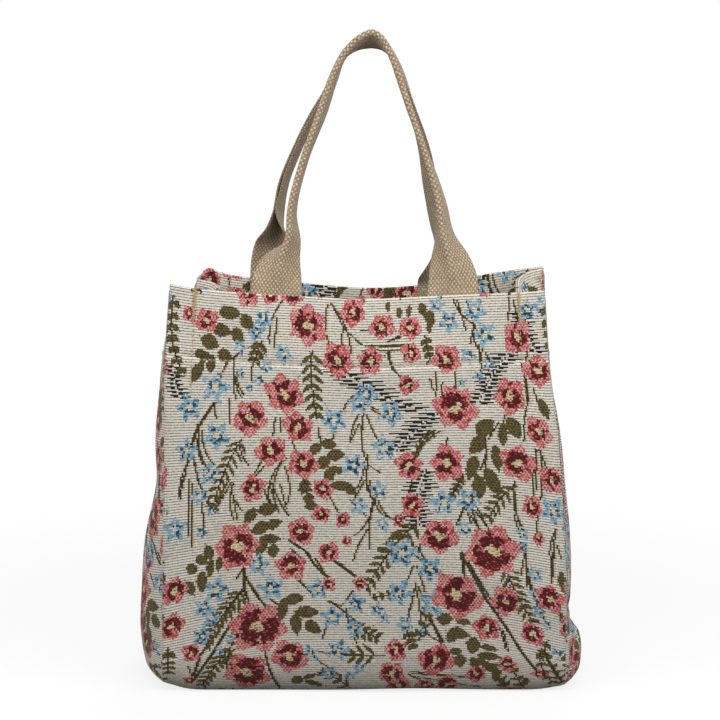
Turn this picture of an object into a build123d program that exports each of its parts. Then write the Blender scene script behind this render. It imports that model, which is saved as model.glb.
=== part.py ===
from build123d import *
from math import cos, radians, sin, sqrt, tan
import os

os.makedirs("parts", exist_ok=True)

# Cloth, webbing and the clearance between pieces that are sewn together
cloth = 1.4
webbing = 1.8
sewn_gap = 0.3
overrun = 40.0

# Body of the bag: front, base and back in one strip
height = 311.0
base_width = 310.0
top_width = 282.0
base_depth = 120.0
top_depth = 108.0
turn_radius = 16.0
hem = 55.0
belly = 9.0
front_sag = 6.0
back_sag = 10.0
ear = 20.0
ear_turn = 5.0
crease = 78.0

# Side gussets: they bulge low down and tuck in between the ears at the top
gusset_bulge = 21.0
gusset_tuck = 18.0
gusset_drop = 4.0

# Webbing handles: sewn flat inside the hem, folded lengthwise over the grip
webbing_width = 38.0
handle_spread = 132.0
handle_shift = 3.0
handle_rise = 195.0
handle_tail = 44.0
apex_shift = 8.0
apex_gap = 42.0
fold_width = 4.0
fold_angle = 174.0

# Shares of the wall height, the hem depth and the gusset width, chosen by hand
top_bow_share = 0.35
middle_height_share = 0.45
outer_height_shares = (1.0, 0.9, 0.76, middle_height_share)
hem_depth_shares = (0.0, 0.5, 1.0)
middle_strip_share = 0.45
band_shares = (-1.0, -0.985, -0.93, -0.8, -0.45, 0.0, 0.45, 0.8, 0.93, 0.985, 1.0)
bulge_power = 2.2
tuck_power = 8.0

# Gusset levels: share of its height, share of its bulge below the hem and of its tuck above it
lower_gusset_shares = (
    (0.0, 0.42),
    (0.012, 0.6),
    (0.035, 0.8),
    (0.07, 0.93),
    (0.12, 0.99),
    (0.18, 1.0),
    (0.27, 0.94),
    (0.38, 0.82),
    (0.5, 0.69),
    (0.62, 0.55),
    (0.73, 0.42),
)
hem_bulge_share = 0.32
upper_gusset_shares = ((0.865, 0.2), (0.905, 0.0), (0.94, -0.36), (0.97, -0.72), (1.0, -1.0))

# Handle legs from the hem up: share of the rise, of the way to the foot, of the lean and of the fold
leg_shares = (
    (0.0, 1.0, 0.0, 0.03),
    (0.06, 0.985, 0.03, 0.24),
    (0.13, 0.945, 0.09, 0.55),
    (0.24, 0.87, 0.2, 0.83),
    (0.36, 0.84, 0.36, 0.96),
    (0.5, 0.73, 0.55, 1.0),
    (0.62, 0.61, 0.7, 1.0),
    (0.74, 0.48, 0.83, 1.0),
    (0.85, 0.35, 0.93, 1.0),
    (0.94, 0.215, 0.985, 1.0),
    (0.985, 0.1, 1.0, 1.0),
)
flat_fold_share = leg_shares[0][3]

# Sizes that follow from the ones above
hem_layers = 2 * cloth
crease_share = 1 - 2 * ear / top_width
strip_shares = (-1.0, -crease_share, -middle_strip_share, 0.0, middle_strip_share, crease_share, 1.0)
floor_trim = cloth / 4
gusset_floor = cloth + sewn_gap
gusset_top = height - gusset_drop
half_webbing = webbing_width / 2


# Distance of the front or back wall from the middle plane, at a height and a share of the half width
def wall(level, share):
    rise = level / height
    half = (base_depth + (top_depth - base_depth) * rise) / 2
    bow = belly * (1 - share**2) * (top_bow_share + (1 - top_bow_share) * 4 * rise * (1 - rise))
    up_crease = max(0, (level - height + crease) / crease)
    past_crease = max(0, (abs(share) - crease_share) / (1 - crease_share))
    return half + bow - ear_turn * up_crease * past_crease


# Points of a wall at some levels, set in from its outer face
def wall_points(side, inset, levels, share):
    return [(side * (wall(level, share) - inset), level) for level in levels]


def outer_levels(top):
    return [top * level for level in outer_height_shares] + [turn_radius]


def inner_levels(top, depth):
    return [top - depth, top * middle_height_share, turn_radius]


def hem_levels(top, depth):
    return [top - depth * down for down in hem_depth_shares]


# Quarter turn from a wall into the base
def turn_points(side, inset, bottom, share):
    edge = wall(turn_radius, share) - inset
    radius = turn_radius - bottom
    slack = radius * (1 - sqrt(0.5))
    start = (side * edge, turn_radius)
    middle = (side * (edge - slack), bottom + slack)
    end = (side * (edge - radius), bottom)
    return start, middle, end


# Plane across the strip, leaning with the side seams
def strip_plane(share):
    foot = Vector(share * base_width / 2, 0, 0)
    head = Vector(share * top_width / 2, 0, height)
    across = Vector(0, 1, 0)
    return Plane(origin=foot, x_dir=across, z_dir=across.cross(head - foot))


# Body panel: front, base and back in one strip, with a hem turned in along both top edges
with BuildPart() as body_panel:
    for share in strip_shares:
        front_top = height - front_sag * (1 - share**2)
        back_top = height - back_sag * (1 - share**2)
        front_turn = turn_points(-1, 0, -floor_trim, share)
        back_turn = turn_points(1, 0, -floor_trim, share)
        front_inner_turn = turn_points(-1, cloth, cloth, share)
        back_inner_turn = turn_points(1, cloth, cloth, share)
        front_outer = wall_points(-1, 0, outer_levels(front_top), share)
        back_outer = wall_points(1, 0, outer_levels(back_top), share)
        front_hem = wall_points(-1, hem_layers, hem_levels(front_top, hem), share)
        back_hem = wall_points(1, hem_layers, hem_levels(back_top, hem), share)
        front_inner = wall_points(-1, cloth, inner_levels(front_top, hem), share)
        back_inner = wall_points(1, cloth, inner_levels(back_top, hem), share)
        front_fold = (front_outer[0][0] + cloth, front_top + cloth)
        back_fold = (back_outer[0][0] - cloth, back_top + cloth)
        with BuildSketch(strip_plane(share)):
            with BuildLine():
                Spline(front_outer)
                ThreePointArc(front_turn)
                Line(front_turn[-1], back_turn[-1])
                ThreePointArc(back_turn)
                Spline(back_outer)
                ThreePointArc(back_outer[0], back_fold, back_hem[0])
                Spline(back_hem)
                Line(back_hem[-1], back_inner[0])
                Spline(back_inner)
                ThreePointArc(back_inner_turn)
                Line(back_inner_turn[-1], front_inner_turn[-1])
                ThreePointArc(front_inner_turn)
                Spline(front_inner)
                Line(front_inner[0], front_hem[-1])
                Spline(front_hem)
                ThreePointArc(front_hem[0], front_fold, front_outer[0])
            make_face()
    loft()
    split(bisect_by=Plane.XY, keep=Keep.TOP)
body_panel.part.label = "body_panel"
export_step(body_panel.part, "parts/body_panel.step")


# One level of the left gusset: the outer and inner edges of its cloth, from seam to seam
def gusset_band(level, reach, layers):
    half_width = (base_width + (top_width - base_width) * level / height) / 2
    half_depth = wall(level, 1.0)
    power = bulge_power if reach > 0 else tuck_power
    outer = []
    inner = []
    for share in band_shares:
        x = -half_width - reach * (1 - abs(share) ** power)
        y = half_depth * share
        lean = -power * reach * share * abs(share) ** (power - 2) / half_depth if share else 0
        slope = sqrt(1 + lean**2)
        outer.append((x, y))
        inner.append((x + layers / slope, y + layers * lean / slope))
    return outer, inner


def gusset_level(share):
    return gusset_floor + share * (gusset_top - gusset_floor)


# Left gusset: a wall of one layer with a hem of two layers above it, trimmed to the room inside the strip
hem_level = (gusset_top - hem, gusset_bulge * hem_bulge_share)
lower_levels = [(gusset_level(level), gusset_bulge * bulge) for level, bulge in lower_gusset_shares]
upper_levels = [(gusset_level(level), gusset_tuck * tuck) for level, tuck in upper_gusset_shares]
hem_room = hem + cloth
front_hem = wall_points(-1, hem_layers + sewn_gap, hem_levels(height, hem_room), 1.0)
back_hem = wall_points(1, hem_layers + sewn_gap, hem_levels(height, hem_room), 1.0)
front_inner = wall_points(-1, cloth + sewn_gap, inner_levels(height, hem_room), 1.0)
back_inner = wall_points(1, cloth + sewn_gap, inner_levels(height, hem_room), 1.0)
front_turn = turn_points(-1, cloth + sewn_gap, cloth + sewn_gap, 1.0)
back_turn = turn_points(1, cloth + sewn_gap, cloth + sewn_gap, 1.0)
with BuildPart() as left_gusset:
    for levels, layers in ((lower_levels + [hem_level], cloth), ([hem_level] + upper_levels, hem_layers)):
        for level, reach in levels:
            outer, inner = gusset_band(level, reach, layers)
            with BuildSketch(Plane.XY.offset(level)):
                with BuildLine():
                    Spline(outer)
                    Line(outer[-1], inner[-1])
                    Spline(inner)
                    Line(inner[0], outer[0])
                make_face()
        loft(ruled=True)
    with BuildSketch(Plane.YZ):
        with BuildLine():
            Spline(front_hem)
            Line(front_hem[-1], front_inner[0])
            Spline(front_inner)
            ThreePointArc(front_turn)
            Line(front_turn[-1], back_turn[-1])
            ThreePointArc(back_turn)
            Spline(back_inner)
            Line(back_inner[0], back_hem[-1])
            Spline(back_hem)
            Line(back_hem[0], front_hem[0])
        make_face()
    extrude(amount=base_width / 2 + overrun, both=True, mode=Mode.INTERSECT)
left_gusset.part.label = "left_gusset"
export_step(left_gusset.part, "parts/left_gusset.step")

# Right gusset: the left one mirrored
with BuildPart() as right_gusset:
    mirror(left_gusset.part, about=Plane.YZ)
right_gusset.part.label = "right_gusset"
export_step(right_gusset.part, "parts/right_gusset.step")


# Stations of a handle from its left end to its right end: point and fold share
def handle_stations(side):
    legs = []
    for leg in (-1, 1):
        foot_x = handle_shift + leg * handle_spread / 2
        outer_share = (abs(foot_x) + half_webbing) / (top_width / 2)
        seat = hem_layers + sewn_gap + webbing / 2
        foot_y = wall(height, outer_share) - seat
        tail_y = wall(height - handle_tail, outer_share) - seat
        stations = [(Vector(foot_x, side * tail_y, height - handle_tail), flat_fold_share)]
        for rise, across, lean, fold in leg_shares:
            x = apex_shift + (foot_x - apex_shift) * across
            y = foot_y + (apex_gap / 2 - foot_y) * lean
            stations.append((Vector(x, side * y, height + handle_rise * rise), fold))
        legs.append(stations)
    apex = (Vector(apex_shift, side * apex_gap / 2, height + handle_rise), 1.0)
    return legs[0] + [apex] + legs[1][::-1]


# Section of the webbing: flat at its ends, folded lengthwise round a narrow spine over the grip
def webbing_section(fold):
    bend = radians(fold_angle * fold / 2)
    flat = half_webbing - fold_width / 2
    section = []
    for face in (1, -1):
        offset = face * webbing / 2
        edge_x = fold_width / 2 + flat * cos(bend) - offset * sin(bend)
        edge_y = flat * sin(bend) + offset * cos(bend)
        corner_x = fold_width / 2 - offset * tan(bend / 2)
        line = [(edge_x, edge_y), (corner_x, offset), (-corner_x, offset), (-edge_x, edge_y)]
        section += line[::face]
    return section


# Plane across a handle: local X towards the inside of the arch, local Y towards the middle of the bag
def handle_plane(stations, index, side):
    before = stations[max(index - 1, 0)][0]
    after = stations[min(index + 1, len(stations) - 1)][0]
    along = (after - before).normalized()
    return Plane(origin=stations[index][0], x_dir=along.cross(Vector(0, -1, 0)), z_dir=along * -side)


# Front and back handles
for name, side in (("front_handle", -1), ("back_handle", 1)):
    stations = handle_stations(side)
    with BuildPart() as handle:
        for index, station in enumerate(stations):
            with BuildSketch(handle_plane(stations, index, side)):
                with BuildLine():
                    Polyline(webbing_section(station[1]), close=True)
                make_face()
        loft(ruled=True)
    handle.part.label = name
    export_step(handle.part, f"parts/{name}.step")
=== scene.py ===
import math
import bpy
import numpy as np
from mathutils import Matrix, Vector


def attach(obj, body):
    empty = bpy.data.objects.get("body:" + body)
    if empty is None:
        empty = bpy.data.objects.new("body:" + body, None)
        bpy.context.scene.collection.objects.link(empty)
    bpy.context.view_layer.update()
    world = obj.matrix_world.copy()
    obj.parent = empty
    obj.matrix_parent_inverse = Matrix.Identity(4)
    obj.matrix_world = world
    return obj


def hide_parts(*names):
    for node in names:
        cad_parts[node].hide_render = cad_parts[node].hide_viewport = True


# Flowered tote bag: jacquard strip and gussets, webbing handles, sewing thread.
# Shapes are worked out in millimetres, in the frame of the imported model, and built in metres.
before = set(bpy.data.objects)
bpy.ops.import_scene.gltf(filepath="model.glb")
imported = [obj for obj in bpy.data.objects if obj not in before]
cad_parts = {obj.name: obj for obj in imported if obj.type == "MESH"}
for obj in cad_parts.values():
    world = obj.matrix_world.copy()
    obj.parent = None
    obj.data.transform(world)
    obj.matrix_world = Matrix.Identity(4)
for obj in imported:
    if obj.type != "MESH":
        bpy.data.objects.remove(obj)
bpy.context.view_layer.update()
mm = 0.001
print("frame loaded:", ", ".join(sorted(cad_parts)))


# small helpers

def linear(hexColour):  # sRGB hex to linear
    parts = [int(hexColour[i:i + 2], 16) / 255 for i in (0, 2, 4)]
    return [c / 12.92 if c <= 0.04045 else ((c + 0.055) / 1.055) ** 2.4 for c in parts] + [1.0]


def soft(at, places, values):  # smooth line through given values
    p, v = np.asarray(places, float), np.asarray(values, float)
    slope = np.gradient(v, p)
    i = np.clip(np.searchsorted(p, at, side="right") - 1, 0, len(p) - 2)
    wide = p[i + 1] - p[i]
    t = np.clip((at - p[i]) / wide, 0, 1)
    rest = 1 - t
    return (rest * rest * (1 + 2 * t) * v[i] + t * t * (3 - 2 * t) * v[i + 1]
            + rest * t * wide * (rest * slope[i] - t * slope[i + 1]))


def ease(at):  # 0 to 1 with soft ends
    t = np.clip(at, 0, 1)
    return t * t * (3 - 2 * t)


def ramped(at, softness):  # zero below, straight above, with a rounded corner
    return 0.5 * (at + np.sqrt(at * at + softness * softness))


def bell(at, wide):  # 1 in the middle, fading to both sides
    return np.exp(-(at / wide) ** 2)


def newPiece(name, vertices, faces, *materials):  # smooth mesh in millimetres, linked to the scene
    mesh = bpy.data.meshes.new(name)
    mesh.from_pydata((np.asarray(vertices) * mm).tolist(), [], faces)
    mesh.polygons.foreach_set("use_smooth", np.ones(len(mesh.polygons), bool))
    for material in materials:
        mesh.materials.append(material)
    piece = bpy.data.objects.new(name, mesh)
    bpy.context.scene.collection.objects.link(piece)
    return piece


def pointAt(thing, place, aim):  # lamp or camera, put in its place and turned
    thing.location = place
    thing.rotation_euler = (Vector(aim) - Vector(place)).to_track_quat("-Z", "Y").to_euler()
    bpy.context.scene.collection.objects.link(thing)


# cloth body: sizes of the strip and gussets

bag = {
    "height": 311,
    "hem": 55,           # depth that is turned in
    "cloth": 1.3,        # thickness of one layer
    "hemGap": 0.3,
    "rib": 1.96,         # one weft rib, woven in two picks
    "ribRise": 0.3,      # its crest above the lines beside it
    "warp": 1.3,         # one warp step of the pattern
    "fineHem": 20,       # depth of the hem's inside that is drawn pick by pick
    "baseDepth": 120,
    "topDepth": 108,
    "belly": 9,          # how far the walls stand out, less at the foot than half way up
    "bellyFoot": 0.35,
    "bellyRise": 2.6,
    "turnMiddle": 16,    # how far the rounded foot turns under, and its height
    "turnCorner": 11,
    "footMiddle": 42,
    "footCorner": 22,
    "footPower": 3,
    "clear": 0.2,        # of the base above the floor
    "ear": 21,           # tip of each upper corner, outside its crease
    "earTurn": 0.26,     # how sharply it leans back
    "earSoft": 2.0,
    "crease": 90,        # how far down the crease runs
    "creaseSink": 1.0,
    "creaseWide": 2.2,
    "hemStep": 0.5,      # two layers stand out above the hem's lower edge
    "hemStepFrom": 3,
    "hemStepFade": 5,
    "stitchAt": 4,       # the stitching lies this far above that edge
    "stitchSink": 1.1,   # and draws the cloth in, with a soft swell as far below the edge
    "stitchWide": 2.2,
    "stitchSwell": 0.5,
    "swellWide": 6,
    "seamRound": 5,      # panel edge rolling into the seam
    "seamSink": 2.0,
    "cornerLift": (5.5, 3.2),  # the left and right lower corners stand off the floor
    "cornerSoft": 14,
    "liftHeight": 60,
    "liftPower": 1.5,
    "baseLift": 1.4,     # the base doesn't lie quite flat
    "baseLiftAt": 0.2,
    "baseLiftWide": 0.3,
    "edgeLift": 0.5,
    "floorSoft": 3,
    "halfWidth": 155,
    "fineColumns": 14,   # of the reverse, beside each seam
    "levels": (0, 90, 200, 255, 311),
    "frontLeft": (-152, -150.5, -147.5, -146.3, -142),
    "frontRight": (158, 156.5, 149, 141.8, 137.5),
    "backLeft": (-154, -152, -146, -139, -129.5),
    "backRight": (156, 155, 152, 148.5, 146),
    "frontShares": (-1, -0.86, -0.6, -0.3, 0, 0.35, 0.62, 0.86, 1),
    "frontTop": (316, 313.4, 310.4, 308, 306, 307.6, 309.4, 310.4, 311),
    "backShares": (-1, -0.95, -0.86, -0.6, -0.3, 0, 0.35, 0.62, 0.86, 1),
    "backTop": (309.5, 316, 312, 307, 302.5, 299.5, 303, 309.5, 315, 318),
}
folds = {  # shallow folds of cloth that stands by itself, in millimetres
    "ripple": 0.55,
    "rippleWaves": (23, 41, 29, 67),
    "hemWave": 0.9,      # along the top, between the handles
    "hemWaveFrom": 6,
    "hemWaveLong": 15,
    "hemWaveLevel": 296,
    "hemWaveHigh": 30,
    "hemWaveReach": 120,
    "hemWaveFade": 40,
    # height, level, slope, x at that level, width, side, start and fade of each slanting fold
    "slants": ((1.3, 92, 0.4, 100, 13, 1, 40, 60), (-1.1, 120, -0.5, -110, 15, -1, 50, 50)),
    "backShare": 0.9,
}
hemThick = 2 * bag["cloth"] + bag["hemGap"]
foldRound = hemThick / 2
foldTurns = [math.radians(turn) for turn in (0, 45, 90, 135)]
pick = bag["rib"] / 2


def seams(face, level):  # left and right seam of the front (-1) or back (1)
    names = ("frontLeft", "frontRight") if face < 0 else ("backLeft", "backRight")
    return [soft(level, bag["levels"], bag[name]) for name in names]


def topOf(face, share):
    name = "front" if face < 0 else "back"
    return soft(share, bag[name + "Shares"], bag[name + "Top"])


def slack(face, x, level):
    a, b, c, d = folds["rippleWaves"]
    fold = folds["ripple"] * np.sin(x / a + level / b) * np.sin(level / c - x / d)
    wave = folds["hemWave"] * np.cos((x - folds["hemWaveFrom"]) / folds["hemWaveLong"])
    wave = wave * bell(level - folds["hemWaveLevel"], folds["hemWaveHigh"])
    fold += wave * ease((folds["hemWaveReach"] - abs(x)) / folds["hemWaveFade"])
    for high, at, slope, middle, wide, side, start, fade in folds["slants"]:
        fold += high * bell(level - at + slope * (x - middle), wide) * ease((side * x - start) / fade)
    return fold if face < 0 else fold[..., ::-1] * folds["backShare"]


def wallDepth(face, share, level):  # distance of a wall's outer face from the middle plane
    left, right = seams(face, level)
    x = left + (right - left) * (share + 1) / 2
    rise = level / bag["height"]
    depth = (bag["baseDepth"] + (bag["topDepth"] - bag["baseDepth"]) * rise) / 2
    full = bag["bellyFoot"] + bag["bellyRise"] * rise * (1 - rise)
    depth = depth + bag["belly"] * (1 - share * share) * full
    inset = np.minimum(x - left, right - x)
    up = ease((level - bag["height"] + bag["crease"]) / bag["crease"])
    depth = depth - bag["earTurn"] * up * ramped(bag["ear"] - inset, bag["earSoft"])
    depth = depth - bag["creaseSink"] * up * bell(inset - bag["ear"] - 1, bag["creaseWide"])
    depth = depth + slack(face, x, level)
    down = topOf(face, share) - level - bag["hem"]
    depth = depth + bag["hemStep"] * ease((bag["hemStepFrom"] - down) / bag["hemStepFade"])
    depth = depth - bag["stitchSink"] * bell(down + bag["stitchAt"], bag["stitchWide"])
    depth = depth + bag["stitchSwell"] * bell(down - bag["stitchAt"], bag["swellWide"])
    edge = np.clip(1 - inset / bag["seamRound"], 0, 1)
    return x, depth - bag["seamSink"] * edge * edge


def cornerLift(side, level):  # how far a lower corner is drawn up
    low = np.clip(1 - level / bag["liftHeight"], 0, 1)
    return np.where(side < 0, *bag["cornerLift"]) * low ** bag["liftPower"]


def turnRound(share):  # depth and height of the rounded foot
    middle = 1 - abs(share) ** bag["footPower"]
    corners, middles = ([bag[name + part] for name in ("turn", "foot")] for part in ("Corner", "Middle"))
    return [a + (b - a) * middle for a, b in zip(corners, middles)]


def grid(rows):  # list of (x, y, z) rows to one array
    return np.array([np.stack(np.broadcast_arrays(*row), -1) for row in rows], float)


def hemSteps():  # distances below the fold, and the pick that each one lies on
    deep = bag["hem"] - foldRound
    ribs = round((deep - bag["fineHem"]) / bag["rib"])
    fine = round(bag["fineHem"] / pick)
    below = np.concatenate([np.linspace(deep, bag["fineHem"], ribs, endpoint=False),
                            np.linspace(bag["fineHem"], 0, fine, endpoint=False)])
    return below, np.concatenate([2 * np.arange(ribs), 2 * ribs + np.arange(fine)])


def hemRows(face, share):  # inside of the hem from its lower edge up, then over the fold
    top = topOf(face, share) - foldRound
    rows = []
    for below in hemSteps()[0]:
        x, depth = wallDepth(face, share, top - below)
        rows.append((x, face * (depth - hemThick), top - below))
    x, depth = wallDepth(face, share, top)
    for a in foldTurns:
        rows.append((x, face * (depth - foldRound - foldRound * math.cos(a)), top + foldRound * math.sin(a)))
    return rows


def wallRows(face, share):  # outer face from the fold down and round to the flat of the base
    top = topOf(face, share) - foldRound
    under, foot = turnRound(share)
    rows = []
    count = round((bag["height"] - bag["footMiddle"]) / pick)
    for i in range(count + 1):
        level = top + (foot - top) * i / count
        x, depth = wallDepth(face, share, level)
        rows.append((x, face * depth, level))
    turn = np.linspace(0, math.pi / 2, 200)
    run = np.hypot(np.diff(bag["turnMiddle"] * np.cos(turn)), np.diff(bag["footMiddle"] * np.sin(turn)))
    run = np.concatenate([[0], np.cumsum(run)])
    turns = round(run[-1] / pick)
    depth = wallDepth(face, share, foot)[1]
    for i in range(1, turns + 1):
        a = np.interp(run[-1] * i / turns, run, turn)
        level = foot * (1 - math.sin(a)) + bag["clear"]
        left, right = seams(face, level)
        x = left + (right - left) * (share + 1) / 2
        rows.append((x, face * (depth - under + under * math.cos(a)), level))
    return rows


def halfStrip(face, columns):  # hem, wall and base as far as its middle line, and the pick of each row
    share = np.linspace(-1, 1, columns + 1)
    rows = hemRows(face, share) + wallRows(face, share)
    inside = hemSteps()[1]
    picks = np.concatenate([inside, inside[-1] + 1 + np.arange(len(rows) - len(inside))])
    start, far = rows[-1], wallRows(-face, share)[-1]
    flat = round((bag["baseDepth"] / 2 - bag["turnMiddle"]) / bag["rib"])
    for i in range(1, flat + 1):
        rows.append([a + (b - a) * i / flat / 2 for a, b in zip(start, far)])
    picks = np.concatenate([picks, picks[-1] + 2 * np.arange(1, flat + 1)])
    points = grid(rows)
    inset = (1 - abs(share)) * bag["halfWidth"]
    edge = np.clip(1 - inset / bag["seamRound"], 0, 1)
    floorPart = bell(points[..., 2], bag["floorSoft"])
    lift = bag["baseLift"] * bell(share - bag["baseLiftAt"], bag["baseLiftWide"])
    points[..., 2] += floorPart * (bag["edgeLift"] * edge * edge + lift)
    points[..., 2] += cornerLift(share, points[..., 2]) * bell(inset, bag["cornerSoft"])
    return points, picks


gusset = {
    "leftLevels": (0, 5, 15, 30, 50, 75, 100, 125, 150, 165, 185, 205, 240, 262, 281, 292, 311),
    "leftBulge": (11, 16, 19, 20.5, 21.5, 21.5, 20, 17.5, 13, 10.5, 11, 11.5, 9, 7, 4, 1.5, 0),
    "rightLevels": (0, 5, 15, 28, 40, 52, 62, 74, 90, 120, 160, 200, 240, 262, 281, 292, 311),
    "rightBulge": (12, 16.5, 18.5, 18, 15.5, 11.5, 8.5, 9, 10.5, 9.5, 7.5, 4.5, 1.5, 0.5, 0, 0, 0),
    "tuck": 19,          # how far its top is pushed in between the ears
    "tuckFrom": 274,
    "drop": 10,
    "bulgePower": 2.3,
    "tuckPower": 8,
    "sag": 7,            # the cloth hangs lower in the middle
    "sagFrom": 60,
    "sagTo": 280,
    "sagFade": 120,
    "ripple": 0.8,
    "rippleWaves": (13, 27, 19),
    "hold": 4,           # power that keeps the folds off the seams
    # slumped right corner: depth, level, slope, y at that level, width, top and fade of each slanting fold
    "slants": ((3.6, 58, 0.55, -20, 6, 110, 40), (2.4, 30, -0.7, -30, 5, 80, 30)),
    "hemFade": 6,
    "topInset": 1.5,
    "seamBite": 1.25,    # its edge is drawn into the panel by the seam
    "foot": 1.7,         # where it turns under to the side of the base
    "footRows": 12,
    "footDrop": 0.7,
}


def gussetGrid(side, columns):
    share = np.linspace(-1, 1, columns + 1)  # front seam to back seam
    name = "left" if side < 0 else "right"
    corner = side * np.ones(1)

    def place(level, lining, under=0):
        ends = []
        for face in (-1, 1):
            foot = bag["footCorner"]
            x, depth = wallDepth(face, corner, np.maximum(level, foot) * np.ones(1))
            low = np.clip((foot - level) / foot, 0, 0.999)
            depth = depth - bag["turnCorner"] * (1 - math.sqrt(1 - low ** 2))
            inHem = ease((level - bag["height"] + bag["hem"]) / gusset["hemFade"] + 1)
            layers = bag["cloth"] + (hemThick - bag["cloth"]) * inHem
            seam = seams(face, level)[0 if side < 0 else 1]
            ends.append((seam, face * (depth[0] - layers + gusset["seamBite"])))
        (xFront, yFront), (xBack, yBack) = ends
        across = (share + 1) / 2
        bulge = soft(level, gusset[name + "Levels"], gusset[name + "Bulge"])
        tuck = gusset["tuck"] * ease((level - gusset["tuckFrom"]) / (bag["height"] - gusset["tuckFrom"]))
        out = bulge * (1 - abs(share) ** gusset["bulgePower"])
        out = out - tuck * (1 - abs(share) ** gusset["tuckPower"])
        y = yFront + (yBack - yFront) * across
        loose = 1 - share ** gusset["hold"]
        a, b, c = gusset["rippleWaves"]
        out = out + gusset["ripple"] * np.sin(y / a + level / b) * np.sin(level / c) * loose
        if side > 0:
            for deep, at, slope, middle, wide, top, fade in gusset["slants"]:
                slant = level - at + slope * (y - middle)
                out = out - deep * bell(slant, wide) * loose * ease((top - level) / fade)
        out = out * (1 - under) - gusset["seamBite"] * under
        hang = gusset["sag"] * (1 - share ** 2) * ease(level / gusset["sagFrom"])
        hang = hang * ease((gusset["sagTo"] - level) / gusset["sagFade"])
        x = xFront + (xBack - xFront) * across + side * (out - lining)
        return x, y, level - hang + cornerLift(side, level)

    tops = [topOf(face, corner)[0] - gusset["topInset"] for face in (-1, 1)]
    topLine = tops[0] + (tops[1] - tops[0]) * (share + 1) / 2 - gusset["drop"] * (1 - share ** 2)
    rows = []

    def hemmed(level, lining, lift):
        x, y, z = place(level, lining)
        over = ease((level - bag["height"] + bag["hem"]) / bag["hem"])
        return x, y, z + lift + (topLine - bag["height"]) * over

    topLevel = bag["height"] - foldRound
    steps, picks = hemSteps()
    for below in steps:
        rows.append(hemmed(topLevel - below, hemThick, 0))
    for a in foldTurns:
        rows.append(hemmed(topLevel, foldRound + foldRound * math.cos(a), foldRound * math.sin(a)))
    count = round(topLevel / pick)
    for i in range(count + 1):
        rows.append(hemmed(topLevel + (gusset["foot"] - topLevel) * i / count, 0, 0))
    for i in range(1, gusset["footRows"] + 1):
        under = i / gusset["footRows"]
        rows.append(place(gusset["foot"] - gusset["footDrop"] * under, 0, under))
    return grid(rows), np.concatenate([picks, picks[-1] + 1 + np.arange(len(rows) - len(picks))])


# a closed sheet of cloth: a ribbed face side, a coarser reverse and a rim

def outward(points):  # unit normals of a panel's face side
    normal = np.cross(np.gradient(points, axis=0), np.gradient(points, axis=1))
    return normal / np.linalg.norm(normal, axis=2, keepdims=True)


# where each part lies in the bake
chart = {"reverse": 0.07, "rimBack": 0.075, "rimFace": 0.085, "face": 0.09}


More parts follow.
